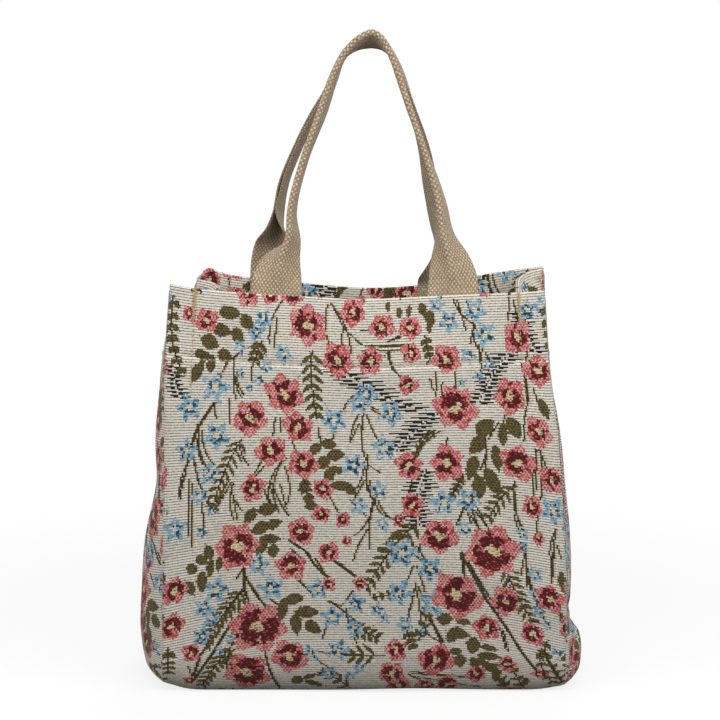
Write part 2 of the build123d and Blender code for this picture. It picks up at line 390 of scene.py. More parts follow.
def clothSheet(name, points, picks, yarns, rowStep, columnStep):
    rows, columns = points.shape[:2]
    normal = outward(points)
    coarseRows = sorted(set(range(0, rows, rowStep)) | {rows - 1})
    fine = bag["fineColumns"]
    seamColumns = set(range(fine)) | set(range(columns - fine, columns))
    coarseColumns = sorted(set(range(0, columns, columnStep)) | seamColumns)
    back = (points - normal * bag["cloth"])[np.ix_(coarseRows, coarseColumns)]
    ribbed = points + normal * (picks % 2)[:, None, None] * bag["ribRise"]
    vertices = np.concatenate([ribbed.reshape(-1, 3), back.reshape(-1, 3)])
    index = np.arange(rows * columns).reshape(rows, columns)
    backIndex = rows * columns + np.arange(back.shape[0] * back.shape[1]).reshape(back.shape[:2])
    faces = np.stack([index[:-1, :-1], index[1:, :-1], index[1:, 1:], index[:-1, 1:]], -1).reshape(-1, 4)
    behind = np.stack([backIndex[:-1, :-1], backIndex[:-1, 1:], backIndex[1:, 1:], backIndex[1:, :-1]], -1)
    behind = behind.reshape(-1, 4)
    rim = []
    for near, far, marks, flip in (
        (index[0], backIndex[0], coarseColumns, False),
        (index[-1], backIndex[-1], coarseColumns, True),
        (index[:, 0], backIndex[:, 0], coarseRows, True),
        (index[:, -1], backIndex[:, -1], coarseRows, False),
    ):
        for i in range(len(marks) - 1):
            ring = list(near[marks[i]:marks[i + 1] + 1]) + [far[i + 1], far[i]]
            rim.append([int(v) for v in (ring[::-1] if flip else ring)])
    piece = newPiece(name, vertices, faces.tolist() + behind.tolist() + rim, faceMaterial, reverseMaterial)
    mesh = piece.data
    total = len(mesh.polygons)
    shown = np.zeros(total, np.float32)
    shown[:len(faces)] = yarns.reshape(-1)
    mesh.attributes.new("yarn", "FLOAT", "FACE").data.foreach_set("value", shown)
    pickGrid, columnGrid = np.meshgrid(picks, np.arange(columns), indexing="ij")
    coarse = np.ix_(coarseRows, coarseColumns)
    thread = np.zeros((len(vertices), 3), np.float32)
    thread[:, 0] = np.concatenate([columnGrid.ravel(), columnGrid[coarse].ravel()])
    thread[:, 1] = np.concatenate([pickGrid.ravel(), pickGrid[coarse].ravel()])
    mesh.attributes.new("threads", "FLOAT_VECTOR", "POINT").data.foreach_set("vector", thread.ravel())
    # flat chart for the bake: the face side above, the reverse in a strip below it, the rim between them
    rowGrid = np.repeat(np.arange(rows)[:, None], columns, 1)
    place = np.zeros((len(vertices), 2))
    place[:, 0] = thread[:, 0] / (columns - 1)
    place[:, 1] = np.concatenate([rowGrid.ravel(), rowGrid[coarse].ravel()]) / (rows - 1)
    isBack = np.arange(len(vertices)) >= rows * columns
    faceHigh = chart["face"] + (1 - chart["face"]) * place[:, 1]
    high = np.where(isBack, chart["reverse"] * place[:, 1], faceHigh)
    corner = np.zeros(len(mesh.loops), np.int32)
    mesh.loops.foreach_get("vertex_index", corner)
    laid = np.stack([place[:, 0], high], -1)[corner]
    rimStart = 4 * (len(faces) + len(behind))
    edge = corner[rimStart:]
    laid[rimStart:, 0] = place[edge].mean(1)
    laid[rimStart:, 1] = np.where(isBack[edge], chart["rimBack"], chart["rimFace"])
    mesh.uv_layers.new(name="OFBake").data.foreach_set("uv", laid.astype(np.float32).ravel())
    reverse = np.zeros(total, np.int32)
    reverse[len(faces):] = 1
    mesh.polygons.foreach_set("material_index", reverse)
    return piece


# woven pattern: one number for each cell of the card, a rib high and a warp step wide

yarnColours = [
    ("cream", "E0DACD"),
    ("blush", "DDA29C"),
    ("rose", "C5615F"),
    ("crimson", "A5393F"),
    ("maroon", "4D0D0F"),
    ("butter", "DCC99D"),
    ("sky", "86ADC2"),
    ("steel", "477B98"),
    ("navy", "243C4B"),
    ("leaf", "5A4D2B"),
    ("moss", "756637"),
    ("fern", "1B1711"),
    ("stem", "3A3020"),
    ("straw", "C4AE7B"),
]
yarnNumber = {name: i for i, (name, _) in enumerate(yarnColours)}

# The flowers are laid out over the photograph, in its pixels, and drawn here from plain shapes.
# Each place is found through the camera: the cell of the front panel that shows at that pixel.
view = {"place": (0, -1.413, 0.4904), "aim": (0, 0, 0.2504), "lens": 92.15, "sensor": 36, "pixels": 720,
        "perMm": 1.32}  # pixels to a millimetre at the front
repeat = {"width": 310, "length": 308, "shift": 118}  # the design starts again below the base

meadow = {
    "roses": (  # x, y, radius in millimetres, petals
        (308, 325, 14, 6), (247, 293, 9, 5), (271, 294, 7, 5), (207, 320, 8.5, 4), (190, 314, 5.5, 4),
        (284, 394, 14, 6), (250, 418, 12.5, 5), (298, 427, 11, 5), (338, 360, 12, 5), (353, 312, 10, 5),
        (370, 361, 9.5, 5), (382, 327, 9.5, 5), (410, 328, 8.5, 5), (411, 353, 7.5, 4),
        (446, 359, 10.5, 5), (408, 385, 7.5, 3), (456, 408, 15.5, 6), (517, 337, 11, 4),
        (510, 396, 12, 5), (538, 371, 11, 4), (539, 432, 10, 5), (271, 451, 11, 5), (303, 464, 10.5, 5),
        (253, 488, 9.5, 5), (323, 489, 7.5, 5), (301, 531, 10, 5), (321, 514, 6.5, 4), (343, 520, 5.5, 4),
        (347, 541, 4, 4), (237, 546, 15.7, 6), (329, 552, 8, 4), (409, 466, 10, 5), (447, 463, 12.5, 5),
        (518, 463, 12.5, 5), (551, 480, 9, 4), (412, 505, 8.5, 5), (398, 520, 4.3, 4), (532, 507, 7.5, 5),
        (440, 536, 13, 5), (539, 539, 4.5, 4), (493, 551, 18.5, 6), (291, 566, 10.5, 5),
        (174, 591, 9.5, 5), (171, 627, 9.5, 5), (191, 654, 7, 4), (257, 627, 19, 6), (289, 656, 12.5, 5),
        (247, 672, 16, 5), (189, 680, 5, 4), (329, 584, 5, 4), (457, 595, 17, 5), (505, 601, 10.5, 5),
        (550, 599, 10, 5), (487, 628, 9.5, 5), (533, 634, 8.5, 4), (396, 650, 8, 5), (436, 660, 12.5, 4),
        (392, 674, 10, 5), (476, 674, 7.5, 5), (507, 664, 7, 5), (540, 674, 5.5, 4), (447, 684, 9, 5),
        (360, 583, 5, 4),
    ),
    "blues": (  # x, y, radius
        (263, 320, 7.5), (257, 333, 7), (241, 347, 6), (284, 354, 7.5), (216, 387, 11), (189, 408, 10),
        (267, 367, 5), (259, 380, 4.5), (241, 373, 4), (250, 388, 3.5), (358, 403, 8), (334, 420, 9.5),
        (437, 305, 6), (449, 322, 8.5), (475, 310, 9), (485, 334, 9), (468, 356, 6), (489, 364, 5),
        (479, 376, 4), (462, 382, 3.5), (367, 394, 9), (391, 414, 10), (527, 310, 8), (541, 307, 7),
        (217, 436, 10), (187, 451, 8.5), (209, 474, 8), (199, 496, 6.5), (212, 512, 4), (175, 529, 9),
        (202, 532, 4.5), (354, 465, 9), (359, 506, 6.5), (384, 448, 9.5), (379, 490, 7), (382, 524, 6),
        (443, 503, 10), (469, 500, 9), (465, 529, 6.5), (553, 511, 10), (522, 534, 5.5), (521, 547, 5.5),
        (403, 553, 12), (258, 565, 8.5), (271, 588, 9.5), (217, 590, 9.5), (204, 608, 7), (211, 618, 7),
        (202, 636, 7), (230, 638, 4), (219, 652, 4), (319, 589, 8.5), (332, 617, 8.5), (355, 604, 8),
        (354, 628, 8), (310, 654, 7.5), (338, 650, 8.5), (329, 673, 6.5), (350, 676, 5), (430, 569, 10),
        (400, 593, 10), (434, 603, 11), (535, 575, 6), (536, 594, 6), (539, 611, 5), (377, 609, 5.5),
        (385, 618, 4.5), (405, 624, 6.5), (360, 668, 5), (547, 625, 4), (557, 655, 5.5), (424, 630, 4),
    ),
    "leaves": (  # x, y, length, width, turn in degrees
        (230, 313, 19, 9, 5), (247, 322, 14, 9, 45), (222, 330, 16, 9, 10), (238, 336, 14, 9, 55),
        (210, 342, 16, 10, 25), (225, 356, 13, 9, 40), (202, 354, 13, 6, 5), (211, 364, 14, 7, 95),
        (197, 372, 17, 8, 120), (204, 358, 7, 7, 0), (268, 509, 16, 9, -10), (250, 516, 15, 8, 125),
        (274, 524, 14, 7, -20), (260, 528, 15, 9, 150), (270, 539, 18, 7, 0), (261, 547, 14, 8, 120),
        (273, 551, 11, 8, 90), (209, 550, 9, 5, 60), (315, 449, 13, 7, 140), (329, 444, 12, 7, 10),
        (336, 455, 14, 8, -10), (323, 463, 12, 9, 130), (336, 470, 14, 6, 0), (329, 476, 9, 8, 120),
        (343, 486, 19, 7, 5), (351, 490, 11, 7, 40), (304, 487, 12, 4, -30), (309, 500, 10, 6, 60),
        (311, 507, 10, 5, 0), (485, 427, 18, 11, -35), (503, 435, 18, 7, 95), (514, 428, 17, 11, 60),
        (477, 445, 17, 10, 130), (497, 458, 20, 8, 85), (472, 468, 20, 9, 110), (493, 482, 23, 10, 65),
        (479, 487, 19, 10, 90), (192, 569, 10, 7, 30), (202, 560, 11, 7, 30), (209, 553, 10, 8, 60),
        (219, 564, 12, 5, 100), (210, 568, 14, 6, 95), (202, 582, 16, 8, 90), (190, 588, 12, 7, 60),
        (294, 599, 16, 8, -10), (282, 610, 19, 8, 100), (307, 612, 18, 9, 5), (296, 624, 17, 8, 85),
        (313, 627, 15, 9, 35), (445, 619, 12, 9, 0), (463, 621, 13, 6, 15), (459, 633, 17, 8, 10),
        (451, 637, 10, 8, 110), (473, 646, 14, 10, 100), (456, 651, 11, 6, -10), (489, 648, 15, 5, 5),
        (460, 661, 12, 9, 90), (489, 656, 18, 7, 0), (480, 661, 10, 7, 120), (493, 667, 11, 6, 30),
        (502, 682, 12, 5, 60), (525, 682, 13, 5, 100), (297, 680, 10, 8, 150), (310, 676, 13, 4, -20),
        (314, 683, 16, 5, 20), (423, 310, 11, 7, 70), (430, 319, 13, 8, 75), (429, 328, 10, 4, 90),
        (388, 307, 8, 4, 90), (399, 313, 9, 5, 90), (409, 312, 11, 4, 95), (544, 409, 16, 7, 70),
        (400, 536, 13, 5, 5), (392, 543, 8, 4, 20), (384, 550, 11, 5, 10), (563, 620, 12, 5, 60),
        (562, 582, 16, 6, 85), (488, 667, 14, 7, 40), (496, 676, 12, 6, 100), (474, 663, 12, 6, 70),
    ),
    "sprigs": (  # stem from x, y to x, y, bend, pairs, leaf length and width
        (174, 296, 184, 374, 0.1, 7, 8, 4.2), (312, 350, 317, 418, 0.03, 7, 12.5, 3.2),
        (425, 336, 431, 364, 0, 4, 6, 3.4), (262, 340, 254, 362, 0, 3, 9, 4.2),
        (168, 648, 169, 674, 0, 4, 8, 4), (505, 565, 533, 622, 0.05, 8, 11.5, 2.8),
        (541, 648, 556, 683, 0.1, 5, 7, 3.4), (417, 522, 366, 590, 0.05, 10, 12, 2.8),
        (394, 594, 372, 598, 0, 3, 5, 2.6), (352, 626, 379, 638, 0, 4, 9, 3.4),
        (407, 630, 413, 648, 0, 3, 7, 3.6), (244, 590, 206, 645, 0.05, 10, 11, 2.6),
        (230, 647, 202, 686, 0.05, 8, 10, 3), (242, 439, 213, 508, 0.05, 9, 11, 2.5),
        (516, 486, 489, 520, 0.1, 6, 10, 2.7), (462, 476, 452, 496, 0, 4, 6, 3),
        (435, 430, 415, 457, 0.1, 5, 5, 3.4), (378, 655, 350, 655, 0, 3, 12, 3),
        (548, 640, 540, 660, 0, 3, 6, 3), (303, 478, 311, 505, 0, 4, 7, 3),
        (507, 690, 492, 664, 0, 4, 8, 3), (524, 690, 512, 668, 0, 3, 8, 3),
        (562, 686, 545, 652, 0.05, 5, 8, 3), (350, 690, 318, 672, 0.1, 4, 8, 3),
        (226, 668, 232, 640, 0, 4, 7, 2.8), (419, 640, 428, 612, 0, 3, 7, 3),
    ),
    "ferns": (  # stem from x, y to x, y, reach of its dashes
        (174, 366, 182, 399, 7), (346, 372, 426, 410, 15), (512, 351, 479, 404, 11),
        (442, 411, 397, 451, 13), (520, 310, 538, 353, 8), (426, 469, 420, 528, 10),
    ),
    "boughs": (  # thick stems: x, y to x, y, bend
        (460, 553, 485, 599, 0), (485, 599, 505, 627, 0), (505, 627, 537, 671, 0),
        (229, 626, 193, 680, 0.03), (214, 402, 202, 420, 0), (202, 420, 191, 444, 0.05),
        (288, 540, 306, 552, 0), (306, 552, 327, 577, 0.06), (335, 561, 355, 576, 0),
        (244, 568, 244, 590, 0), (243, 588, 218, 631, 0.04), (218, 631, 199, 656, 0),
        (199, 656, 192, 678, 0), (545, 655, 562, 682, 0), (422, 607, 442, 642, 0),
        (466, 560, 486, 600, 0),
    ),
    "stems": (  # x, y to x, y, bend
        (282, 301, 269, 344, 0.1), (277, 318, 274, 348, 0), (328, 304, 330, 346, 0.1),
        (331, 304, 351, 354, -0.1), (234, 358, 235, 399, 0), (237, 370, 244, 395, 0.1),
        (240, 353, 220, 378, 0.1), (253, 360, 251, 381, 0), (199, 428, 206, 466, 0.1),
        (202, 431, 214, 465, 0.1), (189, 461, 180, 499, 0.1), (194, 461, 213, 512, 0.05),
        (202, 503, 204, 531, 0), (233, 484, 234, 520, 0.1), (240, 446, 249, 465, 0.1),
        (263, 458, 252, 478, 0), (281, 462, 272, 510, 0.15), (284, 466, 287, 505, -0.1),
        (276, 474, 279, 512, 0.1), (363, 420, 368, 464, 0.1), (364, 462, 353, 492, -0.1),
        (368, 464, 373, 500, 0.1), (375, 498, 394, 519, 0.2), (374, 500, 355, 535, -0.1),
        (441, 431, 416, 457, 0.1), (465, 506, 457, 525, 0), (471, 507, 480, 532, 0),
        (476, 506, 489, 530, 0), (537, 450, 533, 498, 0.05), (541, 451, 541, 500, 0),
        (538, 511, 536, 534, 0), (516, 500, 526, 536, 0.1), (556, 530, 551, 562, 0.1),
        (244, 568, 244, 592, 0), (244, 574, 265, 606, 0), (244, 585, 250, 607, 0),
        (298, 580, 311, 593, 0), (315, 558, 328, 578, 0), (335, 562, 356, 578, 0),
        (265, 649, 280, 687, 0.05), (188, 666, 193, 679, 0), (219, 642, 208, 662, 0),
        (319, 652, 362, 655, 0), (468, 561, 503, 622, 0), (503, 622, 537, 672, 0),
        (526, 553, 532, 594, 0.05), (532, 586, 546, 625, 0), (416, 583, 408, 618, 0),
        (418, 586, 441, 644, 0), (552, 553, 551, 583, 0), (412, 673, 466, 676, 0.02),
        (409, 675, 434, 685, 0), (461, 556, 464, 578, 0), (500, 628, 506, 650, 0),
        (330, 601, 345, 612, 0), (345, 612, 356, 622, 0), (355, 395, 343, 412, 0.1),
        (365, 404, 378, 410, 0), (412, 480, 408, 497, 0), (409, 511, 404, 519, 0),
        (447, 437, 446, 450, 0), (519, 325, 513, 300, 0), (345, 330, 362, 345, 0),
        (388, 341, 401, 337, 0), (372, 345, 405, 345, 0.05), (388, 350, 403, 378, 0.15),
        (455, 372, 455, 392, 0), (473, 326, 480, 352, 0.1), (482, 345, 481, 372, 0),
        (466, 300, 476, 330, 0), (529, 345, 527, 400, 0.05), (533, 388, 541, 412, 0),
        (506, 410, 503, 424, 0), (335, 428, 331, 446, 0), (292, 440, 296, 452, 0),
        (318, 430, 322, 446, 0), (350, 500, 366, 516, 0), (330, 497, 338, 512, 0),
        (425, 532, 418, 552, 0), (414, 542, 420, 560, 0.1), (480, 470, 484, 430, 0.1),
        (303, 560, 290, 548, 0), (333, 306, 344, 329, 0), (344, 329, 342, 345, 0.1),
        (236, 376, 242, 398, 0.1), (230, 399, 229, 424, 0), (214, 403, 216, 418, 0),
        (197, 424, 203, 464, 0.08), (188, 458, 184, 481, 0), (194, 458, 198, 480, 0),
        (275, 418, 273, 436, 0), (280, 418, 281, 432, 0), (318, 428, 324, 446, 0.1),
        (359, 424, 350, 442, 0), (266, 464, 252, 480, 0), (286, 458, 275, 481, 0.1),
        (453, 299, 475, 325, 0.1), (457, 300, 466, 331, 0), (474, 325, 470, 344, 0),
        (479, 345, 480, 363, 0), (485, 352, 489, 360, 0), (509, 297, 508, 320, 0),
        (360, 330, 372, 331, 0), (393, 339, 402, 334, 0), (366, 346, 404, 344, 0),
        (367, 350, 401, 350, 0), (387, 353, 393, 371, 0), (389, 352, 403, 379, 0.12),
        (436, 372, 436, 399, 0), (430, 379, 433, 390, 0), (442, 382, 442, 397, 0),
        (455, 376, 456, 388, 0), (521, 363, 528, 401, -0.05), (528, 401, 524, 441, 0.05),
        (371, 409, 381, 415, 0), (363, 413, 362, 431, 0), (358, 415, 350, 441, 0.05),
        (367, 415, 380, 443, 0.05), (367, 454, 367, 490, 0), (367, 464, 380, 473, 0),
        (499, 422, 488, 439, 0), (487, 449, 485, 470, 0), (536, 449, 536, 489, 0),
        (539, 449, 546, 467, 0), (463, 474, 464, 485, 0), (515, 481, 512, 490, 0),
        (182, 480, 181, 497, 0), (189, 480, 188, 536, 0), (192, 483, 192, 547, 0),
        (212, 508, 202, 488, 0), (212, 511, 227, 483, 0), (216, 508, 231, 483, 0),
        (231, 485, 237, 519, 0), (235, 500, 241, 510, 0), (269, 483, 275, 502, 0),
        (272, 483, 289, 516, 0.05), (280, 484, 286, 508, 0), (263, 485, 270, 508, 0),
        (300, 581, 310, 592, 0), (244, 567, 237, 578, 0), (245, 575, 265, 605, 0.05),
        (244, 590, 250, 606, 0), (238, 604, 240, 618, 0), (265, 650, 279, 688, 0.05),
        (270, 599, 279, 606, 0), (327, 601, 342, 606, 0), (343, 604, 353, 591, 0),
        (346, 609, 357, 643, 0.05), (327, 623, 322, 639, 0), (315, 658, 341, 676, 0),
        (345, 655, 385, 655, 0), (365, 480, 353, 501, 0), (370, 480, 371, 495, 0),
        (374, 498, 370, 526, 0.05), (370, 526, 353, 561, 0.05), (378, 500, 391, 518, 0.1),
        (370, 526, 370, 549, 0), (417, 546, 425, 560, 0), (413, 566, 407, 581, 0),
        (417, 566, 425, 592, 0), (416, 586, 408, 615, 0), (417, 590, 422, 627, 0),
        (422, 627, 442, 642, 0.1), (463, 508, 457, 523, 0), (466, 508, 471, 523, 0),
        (468, 511, 480, 530, 0), (475, 511, 489, 529, 0), (514, 485, 514, 511, 0),
        (515, 511, 523, 530, 0), (514, 515, 518, 529, 0), (526, 544, 521, 575, 0),
        (526, 553, 527, 587, 0), (526, 561, 538, 607, 0.03), (555, 530, 552, 581, 0),
        (557, 546, 564, 566, 0), (463, 552, 464, 576, 0), (503, 630, 508, 651, 0),
        (411, 671, 465, 677, 0), (408, 674, 436, 685, 0), (419, 677, 480, 687, 0),
        (385, 356, 362, 351, 0), (318, 418, 313, 402, 0),
    ),
}


def newCard(picks, columns, start):  # start is the distance from the hem's fold to the first row
    grain = np.random.default_rng(7).random((len(picks) - 1, columns))
    down = start + (picks[:-1] + picks[1:]) / 2 * pick
    across = (np.arange(columns) + 0.5 - columns / 2) * bag["warp"]
    return {"yarn": np.zeros(grain.shape, int), "grain": grain, "down": down, "across": across}


def patch(card, x, y, size):  # the cells near a motif, seen from its middle
    rows = slice(*np.searchsorted(card["down"], (y - size, y + size)))
    columns = slice(*np.searchsorted(card["across"], (x - size, x + size)))
    height, width = card["yarn"].shape
    r, c = np.arange(height)[rows], np.arange(width)[columns]
    twill = (2 * r[:, None] + c) % 5
    check = (r[:, None] // 2 + c) % 2 > 0
    tuft = card["grain"][np.ix_(r // 2, c // 2)]  # coarser grain, two cells by two
    return (card["yarn"][rows, columns], card["grain"][rows, columns], tuft, twill, check,
            card["across"][columns] - x, card["down"][rows, None] - y)


def weave(cells, where, yarn):
    cells[where] = yarnNumber[yarn]


# Grain and tuft are even from 0 to 1, so each limit on them below is the share of cells that takes a yarn.
flower = {  # shares of the radius
    "roseReach": 1.45,
    "roseRagged": 0.14,
    "roseEdge": (1.04, 0.13, 0.07),      # middle, petals, lopsidedness
    "ring": (0.5, 0.14, 0.0085, 0.1),    # its reach: middle, more at the design's foot as painted shade, by radius, sway
    "core": (0.25, 0.06),
    "blueReach": 1.3,
    "blueRagged": 0.24,
    "blueEdge": (0.58, 0.5),
}
leafShape = {"reach": 0.6, "ragged": 0.9, "wide": 0.56, "lean": 0.85, "blunt": 0.7}


def rose(card, x, y, radius, petals):
    turn = x * 0.7 + y * 0.3  # each one faces its own way
    cells, grain, tuft, twill, check, dx, dy = patch(card, x, y, radius * flower["roseReach"])
    angle = np.arctan2(dy, dx) + turn
    lobe = np.cos(petals * angle)
    mean, deep, uneven = flower["roseEdge"]
    edge = mean + deep * lobe + uneven * np.cos(2 * angle + turn)
    ragged = flower["roseRagged"] * (tuft - 0.5)
    inner = np.hypot(dx, dy) / radius + ragged
    out = np.hypot(dx, dy) / (radius * edge) + ragged
    low = y % repeat["length"] / repeat["length"]  # painted shade: the roses grow darker towards the design's foot, where the bag's lower part lies in shade
    petal = out < 1
    weave(cells, petal, "rose")
    weave(cells, petal & check & (grain < 0.75), "blush")
    weave(cells, petal & check & (grain < 0.12), "cream")
    # more crimson towards the design's foot: painted shade
    weave(cells, petal & ~check & (grain > 0.74 - 0.24 * low), "crimson")
    between = petal & (lobe < -0.75) & (out > 0.6)
    weave(cells, between & (tuft > 0.3), "crimson")
    weave(cells, between & (tuft > 0.66), "maroon")
    mean, shadeByFoot, byRadius, sway = flower["ring"]
    ring = mean + shadeByFoot * low + byRadius * radius + sway * np.cos(angle - 2 * turn)
    mean, sway = flower["core"]
    core = mean + sway * np.cos(2 * angle + 3 * turn)
    sided = np.cos(2 * angle + 5 * turn) + 0.8 * np.cos(3 * angle - turn) + 1.2 * (tuft - 0.5)
    dark = (inner < ring) & (inner > core) & (sided > -1.0)  # a ring of maroon, broken here and there
    weave(cells, dark & (grain < 0.95), "maroon")
    weave(cells, dark & (twill == 1) & (grain < 0.5), "crimson")
    weave(cells, inner < core, "butter")
    weave(cells, (inner < core) & (twill > 2) & (grain > 0.5), "straw")
    weave(cells, (inner < core) & (grain > 0.9), "moss")


def blueFlower(card, x, y, radius):
    turn = x * 0.9 - y * 0.4
    cells, grain, tuft, twill, check, dx, dy = patch(card, x, y, radius * flower["blueReach"])
    angle = np.arctan2(dy, dx) + turn
    lobe = np.cos(2.5 * angle) ** 2
    least, deep = flower["blueEdge"]
    out = np.hypot(dx, dy) / (radius * (least + deep * lobe)) + flower["blueRagged"] * (tuft - 0.5)
    petal = (out < 1) & (tuft < 0.9)
    weave(cells, petal, "sky")
    weave(cells, petal & (tuft > 0.52) & (tuft < 0.74), "steel")
    weave(cells, petal & (twill == 3) & (grain < 0.55), "steel")
    weave(cells, petal & check & (grain < 0.25), "cream")
    weave(cells, (out < 0.7) & (out > 0.28) & (tuft > 0.52) & (grain < 0.85), "navy")
    weave(cells, out < 0.3, "cream")
    weave(cells, (out < 0.27) & (grain > 0.5), "butter")


def leaf(card, x, y, length, width, turn):  # x, y at the leaf's middle
    cells, grain, _, _, check, dx, dy = patch(card, x, y, length * leafShape["reach"])
    a = math.radians(turn)
    along = np.clip((dx * math.cos(a) + dy * math.sin(a)) / length + 0.5, 0, 1)
    aside = abs(dy * math.cos(a) - dx * math.sin(a)) + leafShape["ragged"] * (grain - 0.5)
    blade = np.sin(math.pi * along ** leafShape["lean"]) ** leafShape["blunt"]
    inside = aside < width * leafShape["wide"] * blade
    weave(cells, inside, "leaf")
    weave(cells, inside & check & (grain < 0.85), "moss")
    weave(cells, inside & ~check & (grain > 0.5), "stem")


stemLine = {
    "step": 0.5,         # millimetres
    "sprigAngle": 48,    # degrees
    "sprigFirst": 0.4,   # of the space between pairs
    "sprigTaper": 0.35,
    "sprigOut": 0.55,    # the leaf's middle from the stem, of its length
    "fernBend": 0.06,
    "dashStart": (0.05, 0.2),    # of the fern's reach: least, and what luck adds
    "dashLength": (0.65, 0.55),
}


def curve(x0, y0, x1, y1, bend):  # points and heading along a bowed stem
    length = math.hypot(x1 - x0, y1 - y0)
    t = np.linspace(0, 1, max(3, round(length / stemLine["step"])))
    bow = 4 * bend * t * (1 - t)
    heading = math.atan2(y1 - y0, x1 - x0)
    return x0 + (x1 - x0) * t - (y1 - y0) * bow, y0 + (y1 - y0) * t + (x1 - x0) * bow, heading


def cellsUnder(card, xs, ys):  # rows and columns of the cells that a line crosses
    rows = np.searchsorted(card["down"], ys - pick / 2)
    columns = np.searchsorted(card["across"], xs - bag["warp"] / 2)
    height, width = card["yarn"].shape
    inside = (rows < height - 2) & (columns < width - 2) & (ys > card["down"][0]) & (xs > card["across"][0])
    return list(dict.fromkeys(zip(rows[inside].tolist(), columns[inside].tolist())))


def stem(card, x0, y0, x1, y1, bend, wide=1):  # dark and olive picks by turns, pale dots along one side
    xs, ys, heading = curve(x0, y0, x1, y1, bend)
    flat = abs(math.sin(heading)) < 0.5
    for row, column in cellsUnder(card, xs, ys):
        for i in range(wide):
            r, c = (row + i, column) if flat else (row, column + i)
            yarn = "fern" if card["grain"][r, c] < 0.22 else ("stem", "leaf")[(r + c) % 2]
            card["yarn"][r, c] = yarnNumber[yarn]
        r, c = (row + wide, column) if flat else (row, column + wide)
        if (column if flat else row) % 2 and not card["yarn"][r, c]:
            card["yarn"][r, c] = yarnNumber["straw"]


def sprig(card, x0, y0, x1, y1, bend, pairs, length, width):
    xs, ys, heading = curve(x0, y0, x1, y1, bend)
    for i in range(pairs):
        at = round((len(xs) - 1) * (i + stemLine["sprigFirst"]) / pairs)
        size = length * (1 - stemLine["sprigTaper"] * i / pairs)
        out = size * stemLine["sprigOut"]
        for side in (-1, 1):
            a = heading + side * math.radians(stemLine["sprigAngle"])
            leaf(card, xs[at] + out * math.cos(a), ys[at] + out * math.sin(a), size, width, math.degrees(a))
    stem(card, x0, y0, x1, y1, bend)


def fern(card, x0, y0, x1, y1, reach):  # long dashes lying along the ribs, on both sides of a dotted line
    xs, ys, _ = curve(x0, y0, x1, y1, stemLine["fernBend"])
    taken = set()
    for i, (row, column) in enumerate(cellsUnder(card, xs, ys)):
        if i % 4 < 2:
            card["yarn"][row, column] = yarnNumber["fern"]
        if row in taken or row % 3 == 2:
            continue
        taken.add(row)
        side = 1 if row % 3 else -1
        luck = card["grain"][row, column]
        near, long = (round((least + more * luck) * reach / bag["warp"])
                      for least, more in (stemLine["dashStart"], stemLine["dashLength"]))
        far = near + long
        first, last = sorted((column + side * near, column + side * far))
        card["yarn"][row, max(first, 0):max(last, 0)] = yarnNumber["fern"]
        inner = (first + last) // 2
        first, last = (first, inner) if side > 0 else (inner, last)
        card["yarn"][row + 1, max(first, 0):max(last, 0)] = yarnNumber["fern"]  # thicker near the stem


def seenAt(points):  # picture pixels of points given in millimetres
    eye = np.array(view["place"]) / mm
    ahead = np.array(view["aim"]) / mm - eye
    ahead /= np.linalg.norm(ahead)
    aside = np.cross(ahead, (0, 0, 1))
    aside /= np.linalg.norm(aside)
    above = np.cross(aside, ahead)
    ray = points - eye
    scale = view["lens"] / view["sensor"] * view["pixels"] / (ray @ ahead)
    return view["pixels"] / 2 + scale * (ray @ aside), view["pixels"] / 2 - scale * (ray @ above)


def layMeadow(points, picks):  # the design in millimetres across and down the strip
    down = hemStart + picks * pick
    outside = (down > 0) & (down < repeat["length"])  # the rest is hidden from the camera
    seenX, seenY = seenAt(points[outside])
    down = down[outside]

    def place(x, y):
        row, column = np.unravel_index(np.argmin((seenX - x) ** 2 + (seenY - y) ** 2), seenX.shape)
        strayX = (x - seenX[row, column]) / view["perMm"]  # beyond the panel's edge
        strayY = (y - seenY[row, column]) / view["perMm"]
        return (column - (points.shape[1] - 1) / 2) * bag["warp"] + strayX, down[row] + strayY

    laid = {}
    for kind, motifs in meadow.items():
        ends = 1 if kind in ("roses", "blues", "leaves") else 2
        laid[kind] = []
        for motif in motifs:
            spots = [place(*motif[2 * i:2 * i + 2]) for i in range(ends)]
            laid[kind].append((spots, motif[2 * ends:]))
    return laid


def embroider(card, laid, shiftX, shiftY):  # the whole design once, moved by the shift
    for kind, draw, more in (
        ("stems", stem, ()), ("boughs", stem, (2,)), ("ferns", fern, ()), ("sprigs", sprig, ()),
        ("leaves", leaf, ()), ("blues", blueFlower, ()), ("roses", rose, ()),
    ):
        for spots, sizes in laid[kind]:
            moved = [v for x, y in spots for v in (x + shiftX, y + shiftY)]
            draw(card, *moved, *sizes, *more)


def fillCard(card, laid, offset):  # repeats of the design over a whole panel
    for drop in (-1, 0, 1, 2):
        aside = offset + drop * repeat["shift"]
        aside = (aside + repeat["width"] / 2) % repeat["width"] - repeat["width"] / 2
        for turn in (-1, 0, 1):
            embroider(card, laid, aside + turn * repeat["width"], drop * repeat["length"])


# materials

def newMaterial(name):
    material = bpy.data.materials.new(name)
    material.use_nodes = True
    material.node_tree.nodes.clear()
    return material


def add(material, kind, settings=None, **links):  # one node, with its settings and what feeds it
    tree = material.node_tree
    node = tree.nodes.new("ShaderNode" + kind)
    for key, value in (settings or {}).items():
        if key == "stops":  # places and colours along a ramp
            elements = node.color_ramp.elements
            while len(elements) < len(value):
                elements.new(1.0)
            for element, (place, colour) in zip(elements, value):
                element.position, element.color = place, linear(colour)
        elif isinstance(key, int) or key in node.inputs:
            node.inputs[key].default_value = value
        else:
            setattr(node, key, value)
    for key, source in links.items():
        numbered = key[0] == "i" and key[1:].isdigit()
        tree.links.new(source, node.inputs[int(key[1:]) if numbered else key.replace("_", " ")])
    return node


